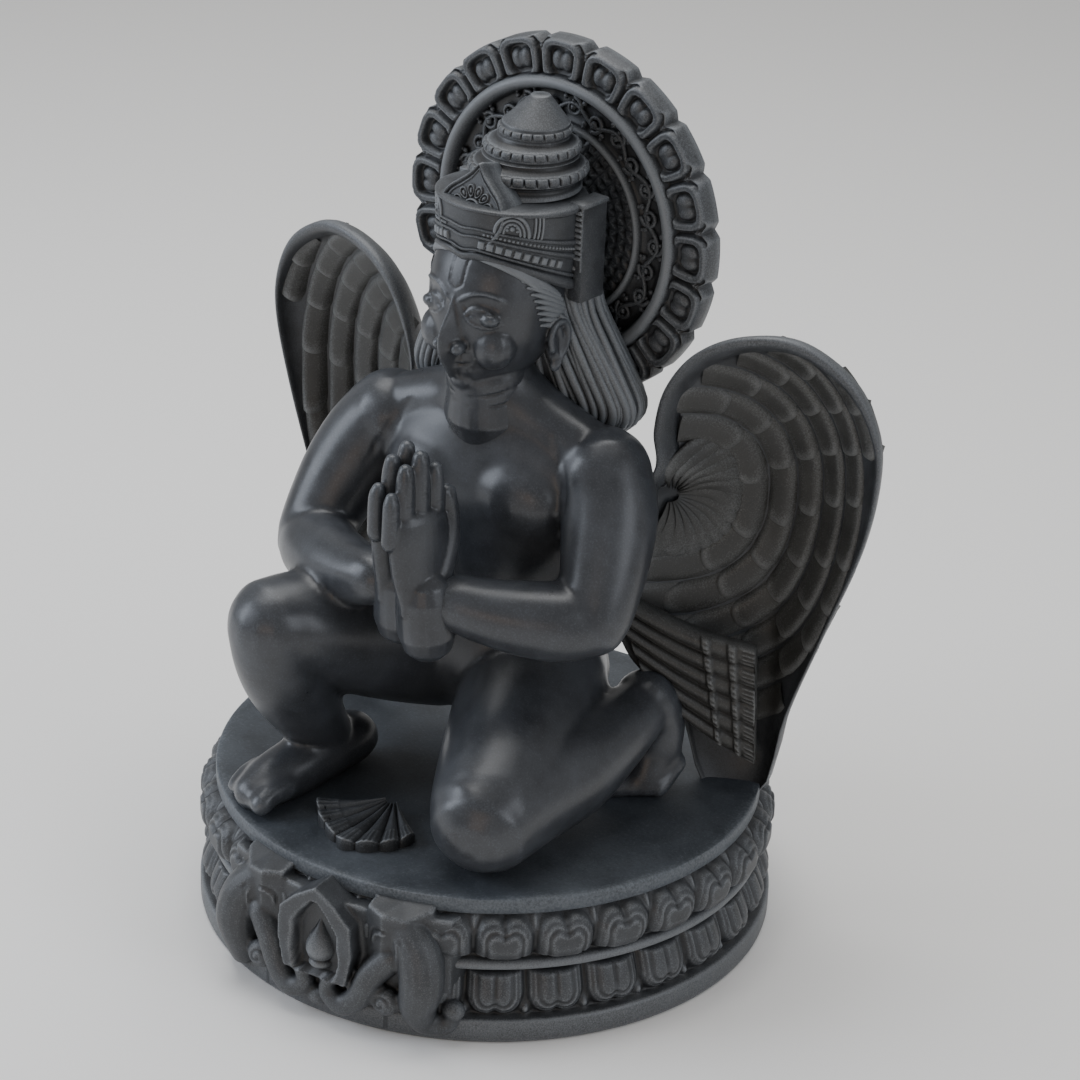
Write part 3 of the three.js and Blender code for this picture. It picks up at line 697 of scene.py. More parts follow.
def makePlinth(p):
    cols = p["petals"] * p["samples"]
    angle = np.linspace(0, 2 * np.pi, cols, endpoint=False)
    pitch = 2 * math.pi / p["petals"]
    half = p["radius"] * pitch / 2
    # radius against height where nothing is carved
    edge = [(0, 0), (0, 246), (1.5, 249.4), (4, 250), (18, 250), (20.5, 249), (21.5, 246.5)]
    rows = [(r, z, None, 0) for z, r in edge]
    low, top = p["lower"], p["upper"]
    for z in np.linspace(low["from"], low["to"], 31):
        share = (z - low["from"]) / (low["to"] - low["from"])
        rows.append((240.0 - 11 * share + 3 * math.sin(math.pi * share), z, low, z - low["from"]))
    rows += [(r, z, None, 0) for z, r in ((62.8, 234), (63.6, 238), (65.5, 240.6), (68, 241.2), (70.5, 240.6),
                                           (72.6, 238), (73.4, 235), (74.6, 233.5))]
    for z in np.linspace(top["from"], top["to"], 31):
        share = (z - top["from"]) / (top["to"] - top["from"])
        rows.append((232.5 + 8.5 * math.sin(math.pi * min(1, share * 1.05)) ** 0.7, z, top, z - top["from"]))
    rows += [(r, z, None, 0) for z, r in ((116.6, 231), (117.2, 226), (117.4, 200))]
    grid = np.empty((len(rows), cols, 3))
    for n, (radius, z, band, y) in enumerate(rows):
        r = np.full(cols, float(radius))
        if band:
            local = (angle - math.radians(band["turn"]) + pitch / 2) % pitch - pitch / 2
            x = local / pitch * 2 * half
            drooping = band is low
            fade = min(1, (band["to"] - z) / 3, (z - band["from"] + 1.2) / 3)
            r = r + petalLift(x, y, drooping, p) * max(0.0, fade)
        grid[n, :, 0] = r * np.sin(angle)
        grid[n, :, 1] = -r * np.cos(angle)
        grid[n, :, 2] = z
    limit = p["radius"]
    reach = np.hypot(grid[..., 0], grid[..., 1])
    grid[..., :2] *= np.minimum(1, limit / np.maximum(reach, 1e-6))[..., None]
    return sheetOf(grid, True, True, True)


def makePlinthTop(p):
    cols = 320
    angle = np.linspace(0, 2 * np.pi, cols, endpoint=False)
    h, r = p["height"], p["topRadius"]
    rows = [(r - 24, 114), (r - 1.5, 114.5), (r, 116), (r, h - 2.5), (r - 0.6, h - 0.9), (r - 2.2, h)]
    rows += [(r - 2.2 - 6 * n, h) for n in range(1, 39)] + [(1.5, h)]
    grid = np.array([[(a * np.sin(t), -a * np.cos(t), z) for t in angle] for a, z in rows])
    wave = 0.35 * np.sin(grid[..., 0] / 17 + 1.3) * np.sin(grid[..., 1] / 23) * (grid[..., 2] > h - 0.5)
    grid[..., 2] += wave - 0.35 * (grid[..., 2] > h - 0.5)  # the flat is slightly uneven by hand
    return sheetOf(grid, True, True, True)


makePiece("lotus_plinth", makePlinth(plinth), "chiselledRelief")
makePiece("plinth_top", makePlinthTop(plinth), "stippledGround", sharp=50)


# Halo: twenty petals, round mouldings, a scrolling vine and a field of overlapping scales

halo = {
    "centre": (0.0, 84.0, 601.0), "turn": -6.0, "radius": 153.0, "ring": 117.0, "innerRing": 81.0,
    "petals": 20, "samples": 34, "front": 11.0, "back": 13.0, "curls": 26,
}


def haloPetal(u, v):
    q = ((np.abs(u) / 0.95) ** 3.4 + (np.abs(v - 0.42) / 0.60) ** 3.4) ** (1 / 3.4)
    rim = np.clip((1.0 - q) / 0.10, 0, 1) * np.clip((q - 0.60) / 0.09, 0, 1)
    rim = rim * rim * (3 - 2 * rim)
    lobes = [((u - side * 0.21) / 0.31) ** 2 + ((v - 0.43) / 0.27) ** 2 for side in (-1, 1)]
    bean = np.sqrt(np.clip(1 - np.minimum(*lobes), 0, 1))
    bean = np.maximum(bean, 0.9 * np.sqrt(np.clip(1 - (u / 0.36) ** 2 - ((v - 0.38) / 0.20) ** 2, 0, 1)))
    wedge = np.clip((np.abs(u) - 0.86) / 0.12, 0, 1) * np.clip((v - 0.62) / 0.2, 0, 1)
    return 7.0 * rim + 5.5 * bean + 3.5 * wedge * (0.4 + 0.6 * np.abs(np.sin(v * 26)))


def scaleLift(angle, r):
    rowGap = 8.6
    row = np.floor(r / rowGap)
    count = np.maximum(np.round(2 * np.pi * (row + 0.5) * rowGap / 11.5), 6)
    phase = angle / (2 * np.pi) * count + 0.5 * (row % 2)
    x = (phase % 1) * 2 - 1
    y = r / rowGap - row
    tip = 1 - 0.55 * np.abs(x) ** 1.6
    return 2.2 * np.clip((tip - y) / 0.18, 0, 1) * (0.55 + 0.45 * y) - 0.6 * dent(x, 0.10) * (y < tip)


def makeHalo(h):
    cols = h["petals"] * h["samples"]
    angle = np.linspace(0, 2 * np.pi, cols, endpoint=False)
    pitch = 2 * math.pi / h["petals"]
    radii = [(2.0, 0), (20, 0)] + [(r, "scale") for r in np.arange(30, 77.1, 1.7)]
    radii += [(77.6, 2.0), (78.4, 6), (80, 8.4), (82, 8.4), (83.6, 6), (84.4, 2.5), (85, 1.5)]
    radii += [(90, 1.2), (96, 1.2), (102, 1.2), (107, 1.5), (108.6, 3.5), (110, 8), (112, 12), (115, 14.2), (118, 14.2),
              (120.4, 11.6), (121.6, 8), (122.2, 4.2)]
    radii += [(r, "petal") for r in np.linspace(123, 151.5, 26)]
    radii += [(152.4, "edge"), (153, "side"), (153, "mid"), (153, "heel"), (151, "rear")]
    cx, cy, cz = h["centre"]
    bite = 6.5 * np.clip(np.abs(((angle / pitch + 0.5) % 1) * 2 - 1) * 1.0 - 0.72, 0, 1) / 0.28
    grid = np.empty((len(radii) + 3, cols, 3))
    for n, (r, kind) in enumerate(radii):
        radius = np.full(cols, float(r))
        if kind == "scale":
            ahead = 1.0 + scaleLift(angle, radius)
        elif kind == "petal":
            u = ((angle / pitch + 0.5) % 1) * 2 - 1
            v = np.full(cols, (r - 121) / 32)
            ahead = 3.6 + haloPetal(u, v)
            radius = radius - bite * (r - 123) / 30
        elif kind in ("edge", "side", "mid", "heel", "rear"):
            ahead = np.full(cols, {"edge": 6.2, "side": 4.0, "mid": -4.0, "heel": -11.0, "rear": -13.0}[kind])
            radius = radius - bite * {"edge": 1, "side": 1, "mid": 0.9, "heel": 0.7, "rear": 0.7}[kind]
        else:
            ahead = np.full(cols, float(kind))
        grid[n] = np.stack([cx + radius * np.sin(angle), cy - ahead, cz + radius * np.cos(angle)], -1)
    for n, r in enumerate((120, 60, 3)):
        back = h["back"] + (0.8 if n else 0.3)
        grid[len(radii) + n] = np.stack([cx + r * np.sin(angle), np.full(cols, cy + back), cz + r * np.cos(angle)], -1)
    return sheetOf(grid, True, True, True)


# one vine: curls to either side of a wavy stem, each ending in a berry with small leaves round it
def makeVine(h):
    forms = []
    cx, cy, cz = h["centre"]
    mid, swing = 97.0, 5.0
    front = cy - 3.6

    def place(r, a, ahead):
        return [cx + r * math.sin(a), front - ahead, cz + r * math.cos(a)]

    count = h["curls"]
    stem = []
    for n in range(count * 4 + 1):
        a = 2 * math.pi * n / (count * 4)
        stem.append([*place(mid + swing * math.sin(n * math.pi / 4), a, 0.4), 1.9])
    forms.append(tube(stem, count * 14, 6, smooth=True))
    for n in range(count):
        a = 2 * math.pi * (n + 0.5) / count
        out = 1 if n % 2 else -1
        centre = np.array(place(mid - out * 2.0, a, 0))
        radial = np.array([math.sin(a), 0, math.cos(a)])
        along = np.array([math.cos(a), 0, -math.sin(a)])
        curl = []
        for k in range(14):
            t = k / 13
            size = 8.4 * (1 - t) + 2.2 * t
            turn = -math.pi / 2 * out + out * t * math.radians(430)
            at = centre + size * (math.cos(turn) * along + math.sin(turn) * radial)
            curl.append([at[0], at[1] - 1.2 * t, at[2], 2.1 - 0.9 * t])
        forms.append(tube(curl, 26, 6))
        forms.append(ball(centre + np.array([0, -1.6, 0]), (2.6, 2.2, 2.6), 4, 7))
        for k in range(5):
            t = math.radians(36 + 72 * k)
            at = centre + 5.2 * (math.cos(t) * along + math.sin(t) * radial)
            forms.append(ball(at + np.array([0, 0.3, 0]), (1.8, 1.8, 1.8), 3, 6))
        for k in (-1, 1):
            at = centre + along * k * 9.5 - radial * out * 6.0
            forms.append(ball(at, (2.6, 2.0, 2.6), 3, 6))
            forms.append(ball(at - radial * out * 3.4, (1.7, 1.6, 1.7), 3, 6))
    return join(forms)


about = halo["centre"][:2]
makePiece("halo_disc", moved(makeHalo(halo), halo["turn"], about), "chiselledRelief")
makePiece("halo_vine", moved(makeVine(halo), halo["turn"], about), "chiselledRelief", wearAndCreaseShade=0.62)


# Wings: a cupped shell with a rolled rim, chains of long feathers and a comb of short ones by the inner edge

wing = {
    "tip": (216.0, 93.0), "sweep": 24.0, "middle": (188.0, 84.0, 390.0), "bowl": 46.0, "thick": 17.0,
    "rim": [  # distance from the tip along the sweep, height, curl towards the front, size of the rolled edge
        (-104, 416, 0, 9), (-106, 452, 0, 10), (-98, 493, 5, 11), (-74, 528, 10, 12), (-36, 546, 15, 12),
        (8, 547, 22, 11), (50, 521, 29, 9), (73, 481, 32, 6), (79, 436, 30, 4), (70, 366, 20, 3), (43, 277, 9, 3),
        (18, 196, 2, 3), (2, 122, 0, 3), (-46, 122, -2, 4), (-72, 190, -8, 5), (-118, 240, -6, 6),
        (-136, 300, -4, 7), (-132, 370, -4, 8),
    ],
    "bandCentre": (-100.0, 385.0), "bands": [45, 70, 95, 119, 142, 164, 186], "feather": 37.0,
}


class WingSurface:
    def __init__(self, w):
        self.w = w
        a = math.radians(w["sweep"])
        self.along = np.array([math.cos(a), math.sin(a), 0])
        self.tip = np.array([*w["tip"], 0.0])
        self.middle = np.array(w["middle"])
        self.home = float((self.middle - self.tip)[:2] @ self.along[:2])
        loop = np.array(w["rim"] + w["rim"][:1], float)
        smooth = spline(np.vstack([loop[-2:-1], loop, loop[1:2]]), 200)
        step = 200 / (len(loop) + 1)
        smooth = smooth[int(step):int(step * len(loop)) + 1]
        angle = np.arctan2(smooth[:, 1] - self.middle[2], smooth[:, 0] - self.home)
        order = np.argsort(angle)
        self.angle = angle[order]
        self.reach = np.hypot(smooth[:, 1] - self.middle[2], smooth[:, 0] - self.home)[order]
        self.curl = smooth[order, 2]
        self.roll = smooth[order, 3]

    def rimAt(self, angle):
        around = lambda values: np.interp(angle, self.angle, values, period=2 * np.pi)
        return around(self.reach), around(self.curl), around(self.roll)

    # points on the hollow front, from distance along the sweep and height
    def point(self, s, z, ahead=0.0):
        s, z = np.asarray(s, float), np.asarray(z, float)
        angle = np.arctan2(z - self.middle[2], s - self.home)
        size, curl, _ = self.rimAt(angle)
        share = np.clip(np.hypot(z - self.middle[2], s - self.home) / size, 0, 1)
        p = self.tip + s[..., None] * self.along + np.stack([0 * s, 0 * s, z], -1)
        p = p + (curl * share)[..., None] * np.array([0.4, -0.85, 0])
        centred = self.middle - (self.tip + self.home * self.along + np.array([0, 0, self.middle[2]]))
        p = p + (1 - share)[..., None] * centred
        p[..., 1] += self.w["bowl"] * (1 - share ** 2.2) - ahead
        return p

    def share(self, s, z):
        angle = np.arctan2(z - self.middle[2], s - self.home)
        return np.hypot(z - self.middle[2], s - self.home) / self.rimAt(angle)[0]


def makeWingShell(w, surface):
    angle = np.linspace(-np.pi, np.pi, 180, endpoint=False)
    size, _, roll = surface.rimAt(angle)

    def ring(share, ahead):
        reach = size * share
        return surface.point(surface.home + reach * np.cos(angle), surface.middle[2] + reach * np.sin(angle), ahead)

    rows = [ring(s, 0) for s in np.linspace(0.04, 0.86, 22)]
    width = roll * 1.5 / size
    for t in np.linspace(0, 1, 9):  # rolled edge
        bulge = roll * np.sin(np.pi * min(0.9, t * 0.9)) ** 0.8
        rows.append(ring(1 - width * (1 - t), bulge * 0.85))
    rows.append(ring(0.998, -3))
    for share, depth in ((0.985, 8), (0.96, 12), (0.92, 15), (0.85, 17), (0.7, 17), (0.5, 17), (0.3, 17), (0.1, 17)):
        rows.append(ring(share, -depth * w["thick"] / 17))
    return outward(sheetOf(np.array(rows), True, True, True))


def bandPoint(w, r, angle):
    c, s = np.cos(angle), np.sin(angle)
    power = 2 / 2.3
    up = np.where(s > 0, 1.12, 1.2)
    return (w["bandCentre"][0] + r * np.sign(c) * np.abs(c) ** power,
            w["bandCentre"][1] + r * up * np.sign(s) * np.abs(s) ** power)


def makeFeathers(w, surface):
    forms = []
    u = np.linspace(0, 1, 12)
    v = np.linspace(-1, 1, 9)
    gridU, gridV = np.meshgrid(u, v, indexing="ij")
    for b in range(len(w["bands"]) - 1):
        inner, outer = w["bands"][b], w["bands"][b + 1]
        mid = (inner + outer) / 2
        step = w["feather"] / mid
        start = math.radians(158) + (b % 2) * step / 2
        for n in range(int(math.radians(330) / step)):
            head = start - n * step
            spread = step * 1.22
            roundTip = np.sqrt(np.clip(1 - np.abs(gridV) ** 2.6, 0, 1))
            lead = gridU * (0.80 + 0.20 * roundTip)
            angle = head - spread * lead
            r = mid + (outer - inner) * 0.53 * gridV * (1 - 0.10 * gridU)
            s, z = bandPoint(w, r, angle)
            share = surface.share(s, z)
            if share.mean() > 0.93 or share.min() > 0.9:
                continue
            dome = np.clip(1 - np.abs(gridV) ** 3, 0, 1)
            tipDrop = np.clip((gridU - 0.88) / 0.12, 0, 1) ** 2
            lift = 1.0 + 3.4 * gridU + 1.6 * dome - (3.4 + 3.0) * tipDrop - 4.2 * np.abs(gridV) ** 6 - 1.2 * (gridV > 0) * gridV ** 2
            lift = lift + 1.2 * (len(w["bands"]) - b) / len(w["bands"])
            lift = np.where(share > 0.9, lift - 60 * (share - 0.9), lift)
            k = np.minimum(1, 0.985 / share)
            s = surface.home + (s - surface.home) * k
            z = surface.middle[2] + (z - surface.middle[2]) * k
            forms.append(facing(sheetOf(surface.point(s, z, lift)), (0, -1, 0)))
    # short comb feathers, stacked up the inner edge
    for n in range(15):
        t = n / 14
        angle = math.radians(84 - 178 * t)
        combU, combV = np.meshgrid(np.linspace(0, 1, 9), np.linspace(-1, 1, 7), indexing="ij")
        width = math.radians(9.4)
        roundTip = np.sqrt(np.clip(1 - np.abs(combV) ** 2.4, 0, 1))
        r = 6 + (w["bands"][0] + 2) * combU * (0.84 + 0.16 * roundTip)
        bent = angle - combV * width * (0.75 + 0.35 * combU) - 0.30 * combU ** 2
        s, z = bandPoint(w, r, bent)
        lift = 2.5 + 5.5 * np.sin(np.pi * np.clip(combU * 0.92, 0, 1)) * (1 - 0.5 * combV ** 2) + 2.4 * combV - 5 * (combU > 0.97) + 2.0
        share = surface.share(s, z)
        k = np.minimum(1, 0.97 / share)
        s = surface.home + (s - surface.home) * k
        z = surface.middle[2] + (z - surface.middle[2]) * k
        forms.append(facing(sheetOf(surface.point(s, z, lift)), (0, -1, 0)))
    return join(forms)


wingSurface = WingSurface(wing)
wingShell = makeWingShell(wing, wingSurface)
feathers = makeFeathers(wing, wingSurface)
for side, mirrored in (("left", False), ("right", True)):
    makePiece("wing_" + side, moved(wingShell, mirror=mirrored), "chiselledRelief")
    makePiece("feathers_" + side, moved(feathers, mirror=mirrored), "dryFeather")


# Head: skull, hooked beak, lidded eyes, ears. Worked out facing the front, then turned.

head = {
    "centre": (0.0, -10.0, 562.0), "turn": -8.0, "voxel": 1.45,
    "skull": [  # height from the centre, half width, depth to the face, depth to the back, squareness
        (-74, 8, 24, 14, 2.0), (-70, 17, 36, 20, 2.0), (-60, 28, 47, 30, 2.1), (-46, 39, 51, 42, 2.2),
        (-26, 47, 54, 52, 2.35), (2, 51, 56, 60, 2.4), (22, 51, 54, 60, 2.3), (44, 46, 46, 56, 2.2), (64, 32, 28, 40, 2.0),
    ],
    "beak": [  # height, ridge ahead of the centre, half width at the cheek, where it meets the face
        (16, 55.5, 3.5, 48), (8, 59, 5.5, 49), (0, 63.5, 7.5, 49), (-7, 68.5, 9.0, 49), (-14, 72, 10.5, 49),
        (-22, 74, 11.5, 49), (-29, 73.6, 10.5, 49), (-35, 71.8, 8.0, 49), (-41, 68.6, 5.2, 49), (-47, 65, 3.8, 49),
        (-53, 61, 2.8, 49), (-58, 57, 1.6, 50),
    ],
}


def atHead(p):
    x, ahead, up = p[:3]
    cx, cy, cz = head["centre"]
    return [cx + x, cy - ahead, cz + up, *p[3:]]


def makeHead(h):
    cx, cy, cz = h["centre"]
    forms = [rings([[cz + u, cx, cy, *rest] for u, *rest in h["skull"]], 90, 50)]
    rows = []
    for up, ridge, wide, base in spline(h["beak"], 40):
        section = [(-wide * 1.5, base - 6), (-wide, base), (-wide * 0.62, base + (ridge - base) * 0.36),
                   (-wide * 0.30, base + (ridge - base) * 0.72), (-0.9, ridge - 0.5), (0, ridge)]
        section = section + [(-x, y) for x, y in section[-2::-1]] + [(wide, base - 12), (-wide, base - 12)]
        rows.append([atHead((x, y, up)) for x, y in section])
    forms.append(outward(sheetOf(np.array(rows), True, True, True)))
    for s in (-1, 1):
        forms.append(ball(atHead((s * 27, 36, -27)), (19, 17.5, 20)))       # cheek
        forms.append(ball(atHead((s * 9.5, 59, -28)), (5.6, 7.5, 5.6)))     # nostril
        forms.append(ball(atHead((s * 25.5, 42.5, -0.8)), (14.8, 9.4, 7.6), axes=axesOf((s * -0.5, -1, 0))))
        ear = (s * 51, -12, -31)
        loop = [(-7, -4), (-8.5, 8), (-3, 17), (6, 17.5), (11, 8), (9, -4), (3, -13), (0, -19)]
        forms.append(tube([atHead((ear[0] + s * (2.6 + 0.08 * b + 1.5), ear[1] - b, ear[2] + u, 2.9)) for b, u in loop], 40, 10))
        forms.append(ball(atHead((ear[0], ear[1], ear[2] + 1)), (3.6, 9, 17)))
        forms.append(tube([atHead((ear[0] + s * 3, ear[1] - b, ear[2] + u, 2.4)) for b, u in ((-6, 5), (-3, -4), (0, -12))], 12, 10))
        forms.append(tube([atHead((ear[0] + s * 3, ear[1] - b, ear[2] + u, 1.9)) for b, u in ((2, 12), (5, 3), (3, -6))], 12, 10))
        forms.append(ball(atHead((ear[0] + s * 1.5, ear[1], ear[2] - 19)), (4.4, 5.5, 6.5)))
    forms.append(ball(atHead((0, 41, -47)), (19, 11.5, 13)))
    forms.append(ball(atHead((0, 40, -60)), (13, 11, 10)))
    forms.append(tube([atHead(p) for p in ((-13, 46, -39.5, 1.2), (-6.5, 51.4, -41.6, 2.1), (0, 52.6, -40.8, 2.4),
                                           (6.5, 51.4, -41.6, 2.1), (13.5, 46, -39, 1.2))], 24, 10))
    forms.append(tube([atHead(p) for p in ((-9.5, 48.6, -44.4, 1.2), (0, 52.2, -47.2, 3.1), (9.5, 48.6, -44.4, 1.2))], 18, 10))
    # neck, with the under-jaw filled in
    forms.append(tube([atHead(p) for p in ((0, 6, -100, 38), (0, 8, -80, 35), (0, 12, -60, 34))], 10, 28))
    return fused(join(forms), h["voxel"], 3)


headForm = makeHead(head)
headSkin = Skin(headForm)


def onHead(path):
    return [headSkin.on(atHead(p))[0] for p in path]


strokes = []
for s in (-1, 1):
    strokes += [
        (onHead([(s * 9, 56, 3), (s * 22, 52, 12), (s * 37, 41, 8)]), 9.0, -2.6),                     # socket
        (onHead([(s * 1, 60, 7), (s * 8, 57, 13), (s * 17, 54, 18.5), (s * 26, 49, 20), (s * 34, 43, 18),
                 (s * 41, 38, 14)]), 1.9, 1.7),                                                       # brow
        (onHead([(s * 11.3, 55, 0), (s * 17, 55, 5.8), (s * 24, 52, 7.4), (s * 32, 48, 4.8), (s * 40, 40, -4)]), 1.7, 1.5),
        (onHead([(s * 11.3, 55, 0), (s * 17, 54, -5.2), (s * 24, 51, -7.8), (s * 32, 46, -7.6), (s * 40, 40, -4)]), 1.5, 1.2),
        (onHead([(s * 14, 55, -0.5), (s * 20, 54, 2.0), (s * 28, 50, 0.6), (s * 37, 43, -3.6)]), 1.2, -0.9),
        (onHead([(s * 12, 58, -35), (s * 15.5, 54, -30), (s * 15, 54, -24)]), 1.8, -1.2),             # round the nostril
        (onHead([(s * 2, 53, -44), (s * 8, 50.6, -44.2), (s * 14.5, 46, -41.5)]), 1.3, -1.2),         # mouth
        (onHead([(s * 8, 46, -76), (s * 30, 34, -72), (s * 40, 10, -66)]), 1.8, -1.6),                # neck folds
        (onHead([(s * 6, 44, -84), (s * 30, 30, -82), (s * 40, 8, -76)]), 1.8, -1.4),
    ]
mark = [(-7.2, 45, 45), (-7.0, 51, 30), (-6.2, 54, 24), (0, 55, 19.5), (6.2, 54, 24), (7.0, 51, 30), (7.2, 45, 45)]
for a, b in zip(mark, mark[1:]):
    strokes.append((onHead([a, b]), 1.3, -1.3))
headForm = moved(carve(headForm, strokes), head["turn"], head["centre"][:2])
headSkin = Skin(headForm)
makePiece("garuda_head", headForm, "oiledSkin")


# Crown: sloping banded cap, leaf-shaped plaque with a flower, three gadrooned tiers and a cone

crown = {
    "cap": [(46, 56, 57, 62, 1.0), (62, 58, 59, 62, 0.8), (88, 60, 58, 62, 0.1)],  # up, half, front, back, slope share
    "slope": 0.46, "studGap": 7.4, "beadGap": 3.4, "gadroons": 30,
    "tiers": [
        (46, 87), (45.5, 90), (43.5, 91.2), (43, 94), (43.6, 95), (43, 96), (46, 97.2), (47, 98), (46, 105.6), (43, 106.6),
        (39.5, 108), (38.6, 110), (38.6, 111.4), (39.6, 112), (38.4, 112.8), (37.6, 114), (38.4, 115), (37.4, 122),
        (34, 123.2), (30.5, 124.6), (29.4, 126.2), (29.8, 127.2), (28.8, 128.4), (29.2, 129.2), (28.2, 135), (27.4, 136),
        (27.6, 137.4), (26.4, 138.4), (8.6, 157.2), (7.6, 158.2), (0.6, 158.4),
    ],
    "rolls": [(45.2, 101.8, 4.1, 30), (36.4, 118.6, 3.7, 25), (27.6, 132.2, 3.0, 20)],  # radius, height, size, lobes
    "leaf": [(0, 39), (14, 45), (27, 56), (34.5, 72), (29, 88), (17, 99), (7, 107), (0, 115)],
}


def capPoint(a, up, swell=0.0):
    rows = np.array(crown["cap"], float)
    half, front, back, tilt = (np.interp(up, rows[:, 0], rows[:, k]) for k in range(1, 5))
    a = np.asarray(a, float)
    dx = (half + swell) * np.sin(a)
    dy = -np.cos(a) * (np.where(np.cos(a) > 0, front, back) + swell)
    drop = tilt * crown["slope"] * (dy + 60) + 3.2 * np.exp(-(a / 0.16) ** 2) * tilt
    cx, cy, cz = head["centre"]
    return np.stack([cx + dx, cy + 12 + dy, cz + up - drop], -1)


def capOut(a):
    return unit(np.array([math.sin(a), -math.cos(a), 0.0]))


def makeCap(c):
    a = np.linspace(-np.pi, np.pi, 260, endpoint=False)

    def lift(v):
        ridge = lambda at, wide, tall: tall * math.sqrt(max(0.0, 1 - ((v - at) / wide) ** 2))
        return max(0.0, ridge(3.2, 3.3, 3.4), ridge(8.6, 1.3, 1.7), ridge(19.4, 1.3, 2.1), ridge(25.6, 1.2, 1.8),
                   ridge(40.4, 1.6, 2.2))

    rows = [capPoint(a, 44, -14), capPoint(a, 45, -4)]
    for v in np.concatenate([np.linspace(0, 28, 76), np.linspace(29, 38, 6), np.linspace(38.6, 42, 9)]):
        rows.append(capPoint(a, 46 + v, lift(v)))
    top = rows[-1]
    middle = top.mean(0)
    rows += [middle + (top - middle) * s + np.array([0, 0, 0.6]) for s in (0.97, 0.8, 0.4)]
    return outward(sheetOf(np.array(rows), True, True, True))


def makeCrown(c):
    cx, cy, cz = head["centre"]
    forms = [makeCap(c)]
    # tiers, each a little further back than the one below
    t = np.linspace(0, 2 * np.pi, 180, endpoint=False)
    centre = lambda up: cy + 30 + 0.22 * (up - 90)
    rows = [np.stack([cx + r * np.sin(t), centre(up) - r * np.cos(t), np.full(180, cz + up)], -1) for r, up in c["tiers"]]
    forms.append(outward(sheetOf(np.array(rows), True, True, True)))
    for radius, up, size, lobes in c["rolls"]:
        t = np.linspace(0, 2 * np.pi, lobes * 14, endpoint=False)
        share = np.abs((t / (2 * np.pi) * lobes % 1) * 2 - 1)
        swell = 0.30 + 0.70 * np.sqrt(np.clip(1 - share ** 3.5, 0, 1))
        rows = []
        for q in np.linspace(-80, 80, 11):
            r = radius + size * math.cos(math.radians(q)) ** 0.8 * swell
            z = cz + up + size * math.sin(math.radians(q)) * (0.8 + 0.2 * swell)
            rows.append(np.stack([cx + r * np.sin(t), centre(up) - r * np.cos(t), z], -1))
        forms.append(outward(sheetOf(np.array(rows), True, True, True)))
    # studs and fine beads of the band, left out where the plaque covers it
    length = 2 * math.pi * 59
    for gap, v, kind in ((c["studGap"], 14.0, "stud"), (c["beadGap"], 22.6, "bead")):
        count = int(length / gap)
        for n in range(count):
            a = 2 * math.pi * (n + 0.5) / count - math.pi
            if abs(a) < 0.30 or (abs(abs(a) - 1.62) < 0.14 and kind == "stud"):
                continue
            at = capPoint(a, 46 + v, 0.4)
            run = unit(capPoint(a + 0.01, 46 + v) - capPoint(a - 0.01, 46 + v))
            if kind == "stud":
                forms.append(stud(at, capOut(a), (2.7, 3.0), np.cross(run, capOut(a)), 2.2))
            else:
                forms.append(bead(at, capOut(a), 1.35, run, 6))
    # arched panels on the wall of the cap, a curling flower in each
    for hand in (-1, 1):
        for mid in (0.72, 2.15, 2.75):
            wall = lambda u, v, lift=0.6: capPoint(hand * (mid + u / 58), 46 + v, lift)
            for wide, tall, thick in ((13.5, 13.0, 1.5), (9.8, 10.2, 1.1), (6.6, 7.4, 1.0)):
                arch = [[*wall(wide * math.cos(q), 27.2 + tall * math.sin(q)), thick] for q in np.linspace(0, np.pi, 15)]
                forms.append(tube(arch, 28, 7))
            forms.append(bead(wall(0, 31.2), capOut(hand * mid), (2.2, 2.2, 2.2)))
            for q in np.linspace(-0.3, np.pi + 0.3, 6):
                forms.append(bead(wall(4.2 * math.cos(q), 31.0 + 3.4 * math.sin(q)), capOut(hand * mid), (1.5, 1.6, 1.5), None, 6))
        for n, u in enumerate((17.5, 20.6, 23.7)):  # upright flutes beside the arch
            flute = [[*capPoint(hand * (0.72 + (u + 2.5 * q * (1 - q)) / 58), 46 + 27.4 + 13 * q, 0.7), 1.25] for q in np.linspace(0, 1, 8)]
            forms.append(tube(flute, 14, 6))
        # side box with a pilaster of stacked rolls on its front face
        bx, by = cx + hand * 58, cy + 40
        box = []
        for z, grow in ((2, -0.8), (3, 0), (82, 0), (82.6, 1.0), (85.4, 1.0), (86, 0.2)):
            w, d = 7 + grow, 15 + grow
            corner = [(-w, -d + 1), (-w + 1, -d), (w - 1, -d), (w, -d + 1), (w, d - 1), (w - 1, d), (-w + 1, d), (-w, d - 1)]
            box.append([[bx + x, by + y, cz + z] for x, y in corner])
        forms.append(outward(sheetOf(np.array(box, float), True, True, True)))
        for n in range(9):
            z = cz + 40 + 4.8 * n
            forms.append(tube([[bx - 4.5, by - 15, z, 2.0], [bx + 4.5, by - 15, z, 2.0]], 4, 8, smooth=False))
        for x in (-5.6, 5.6):
            forms.append(tube([[bx + x, by - 15, cz + 30, 1.2], [bx + x, by - 15, cz + 82, 1.2]], 4, 7, smooth=False))
    return join(forms)


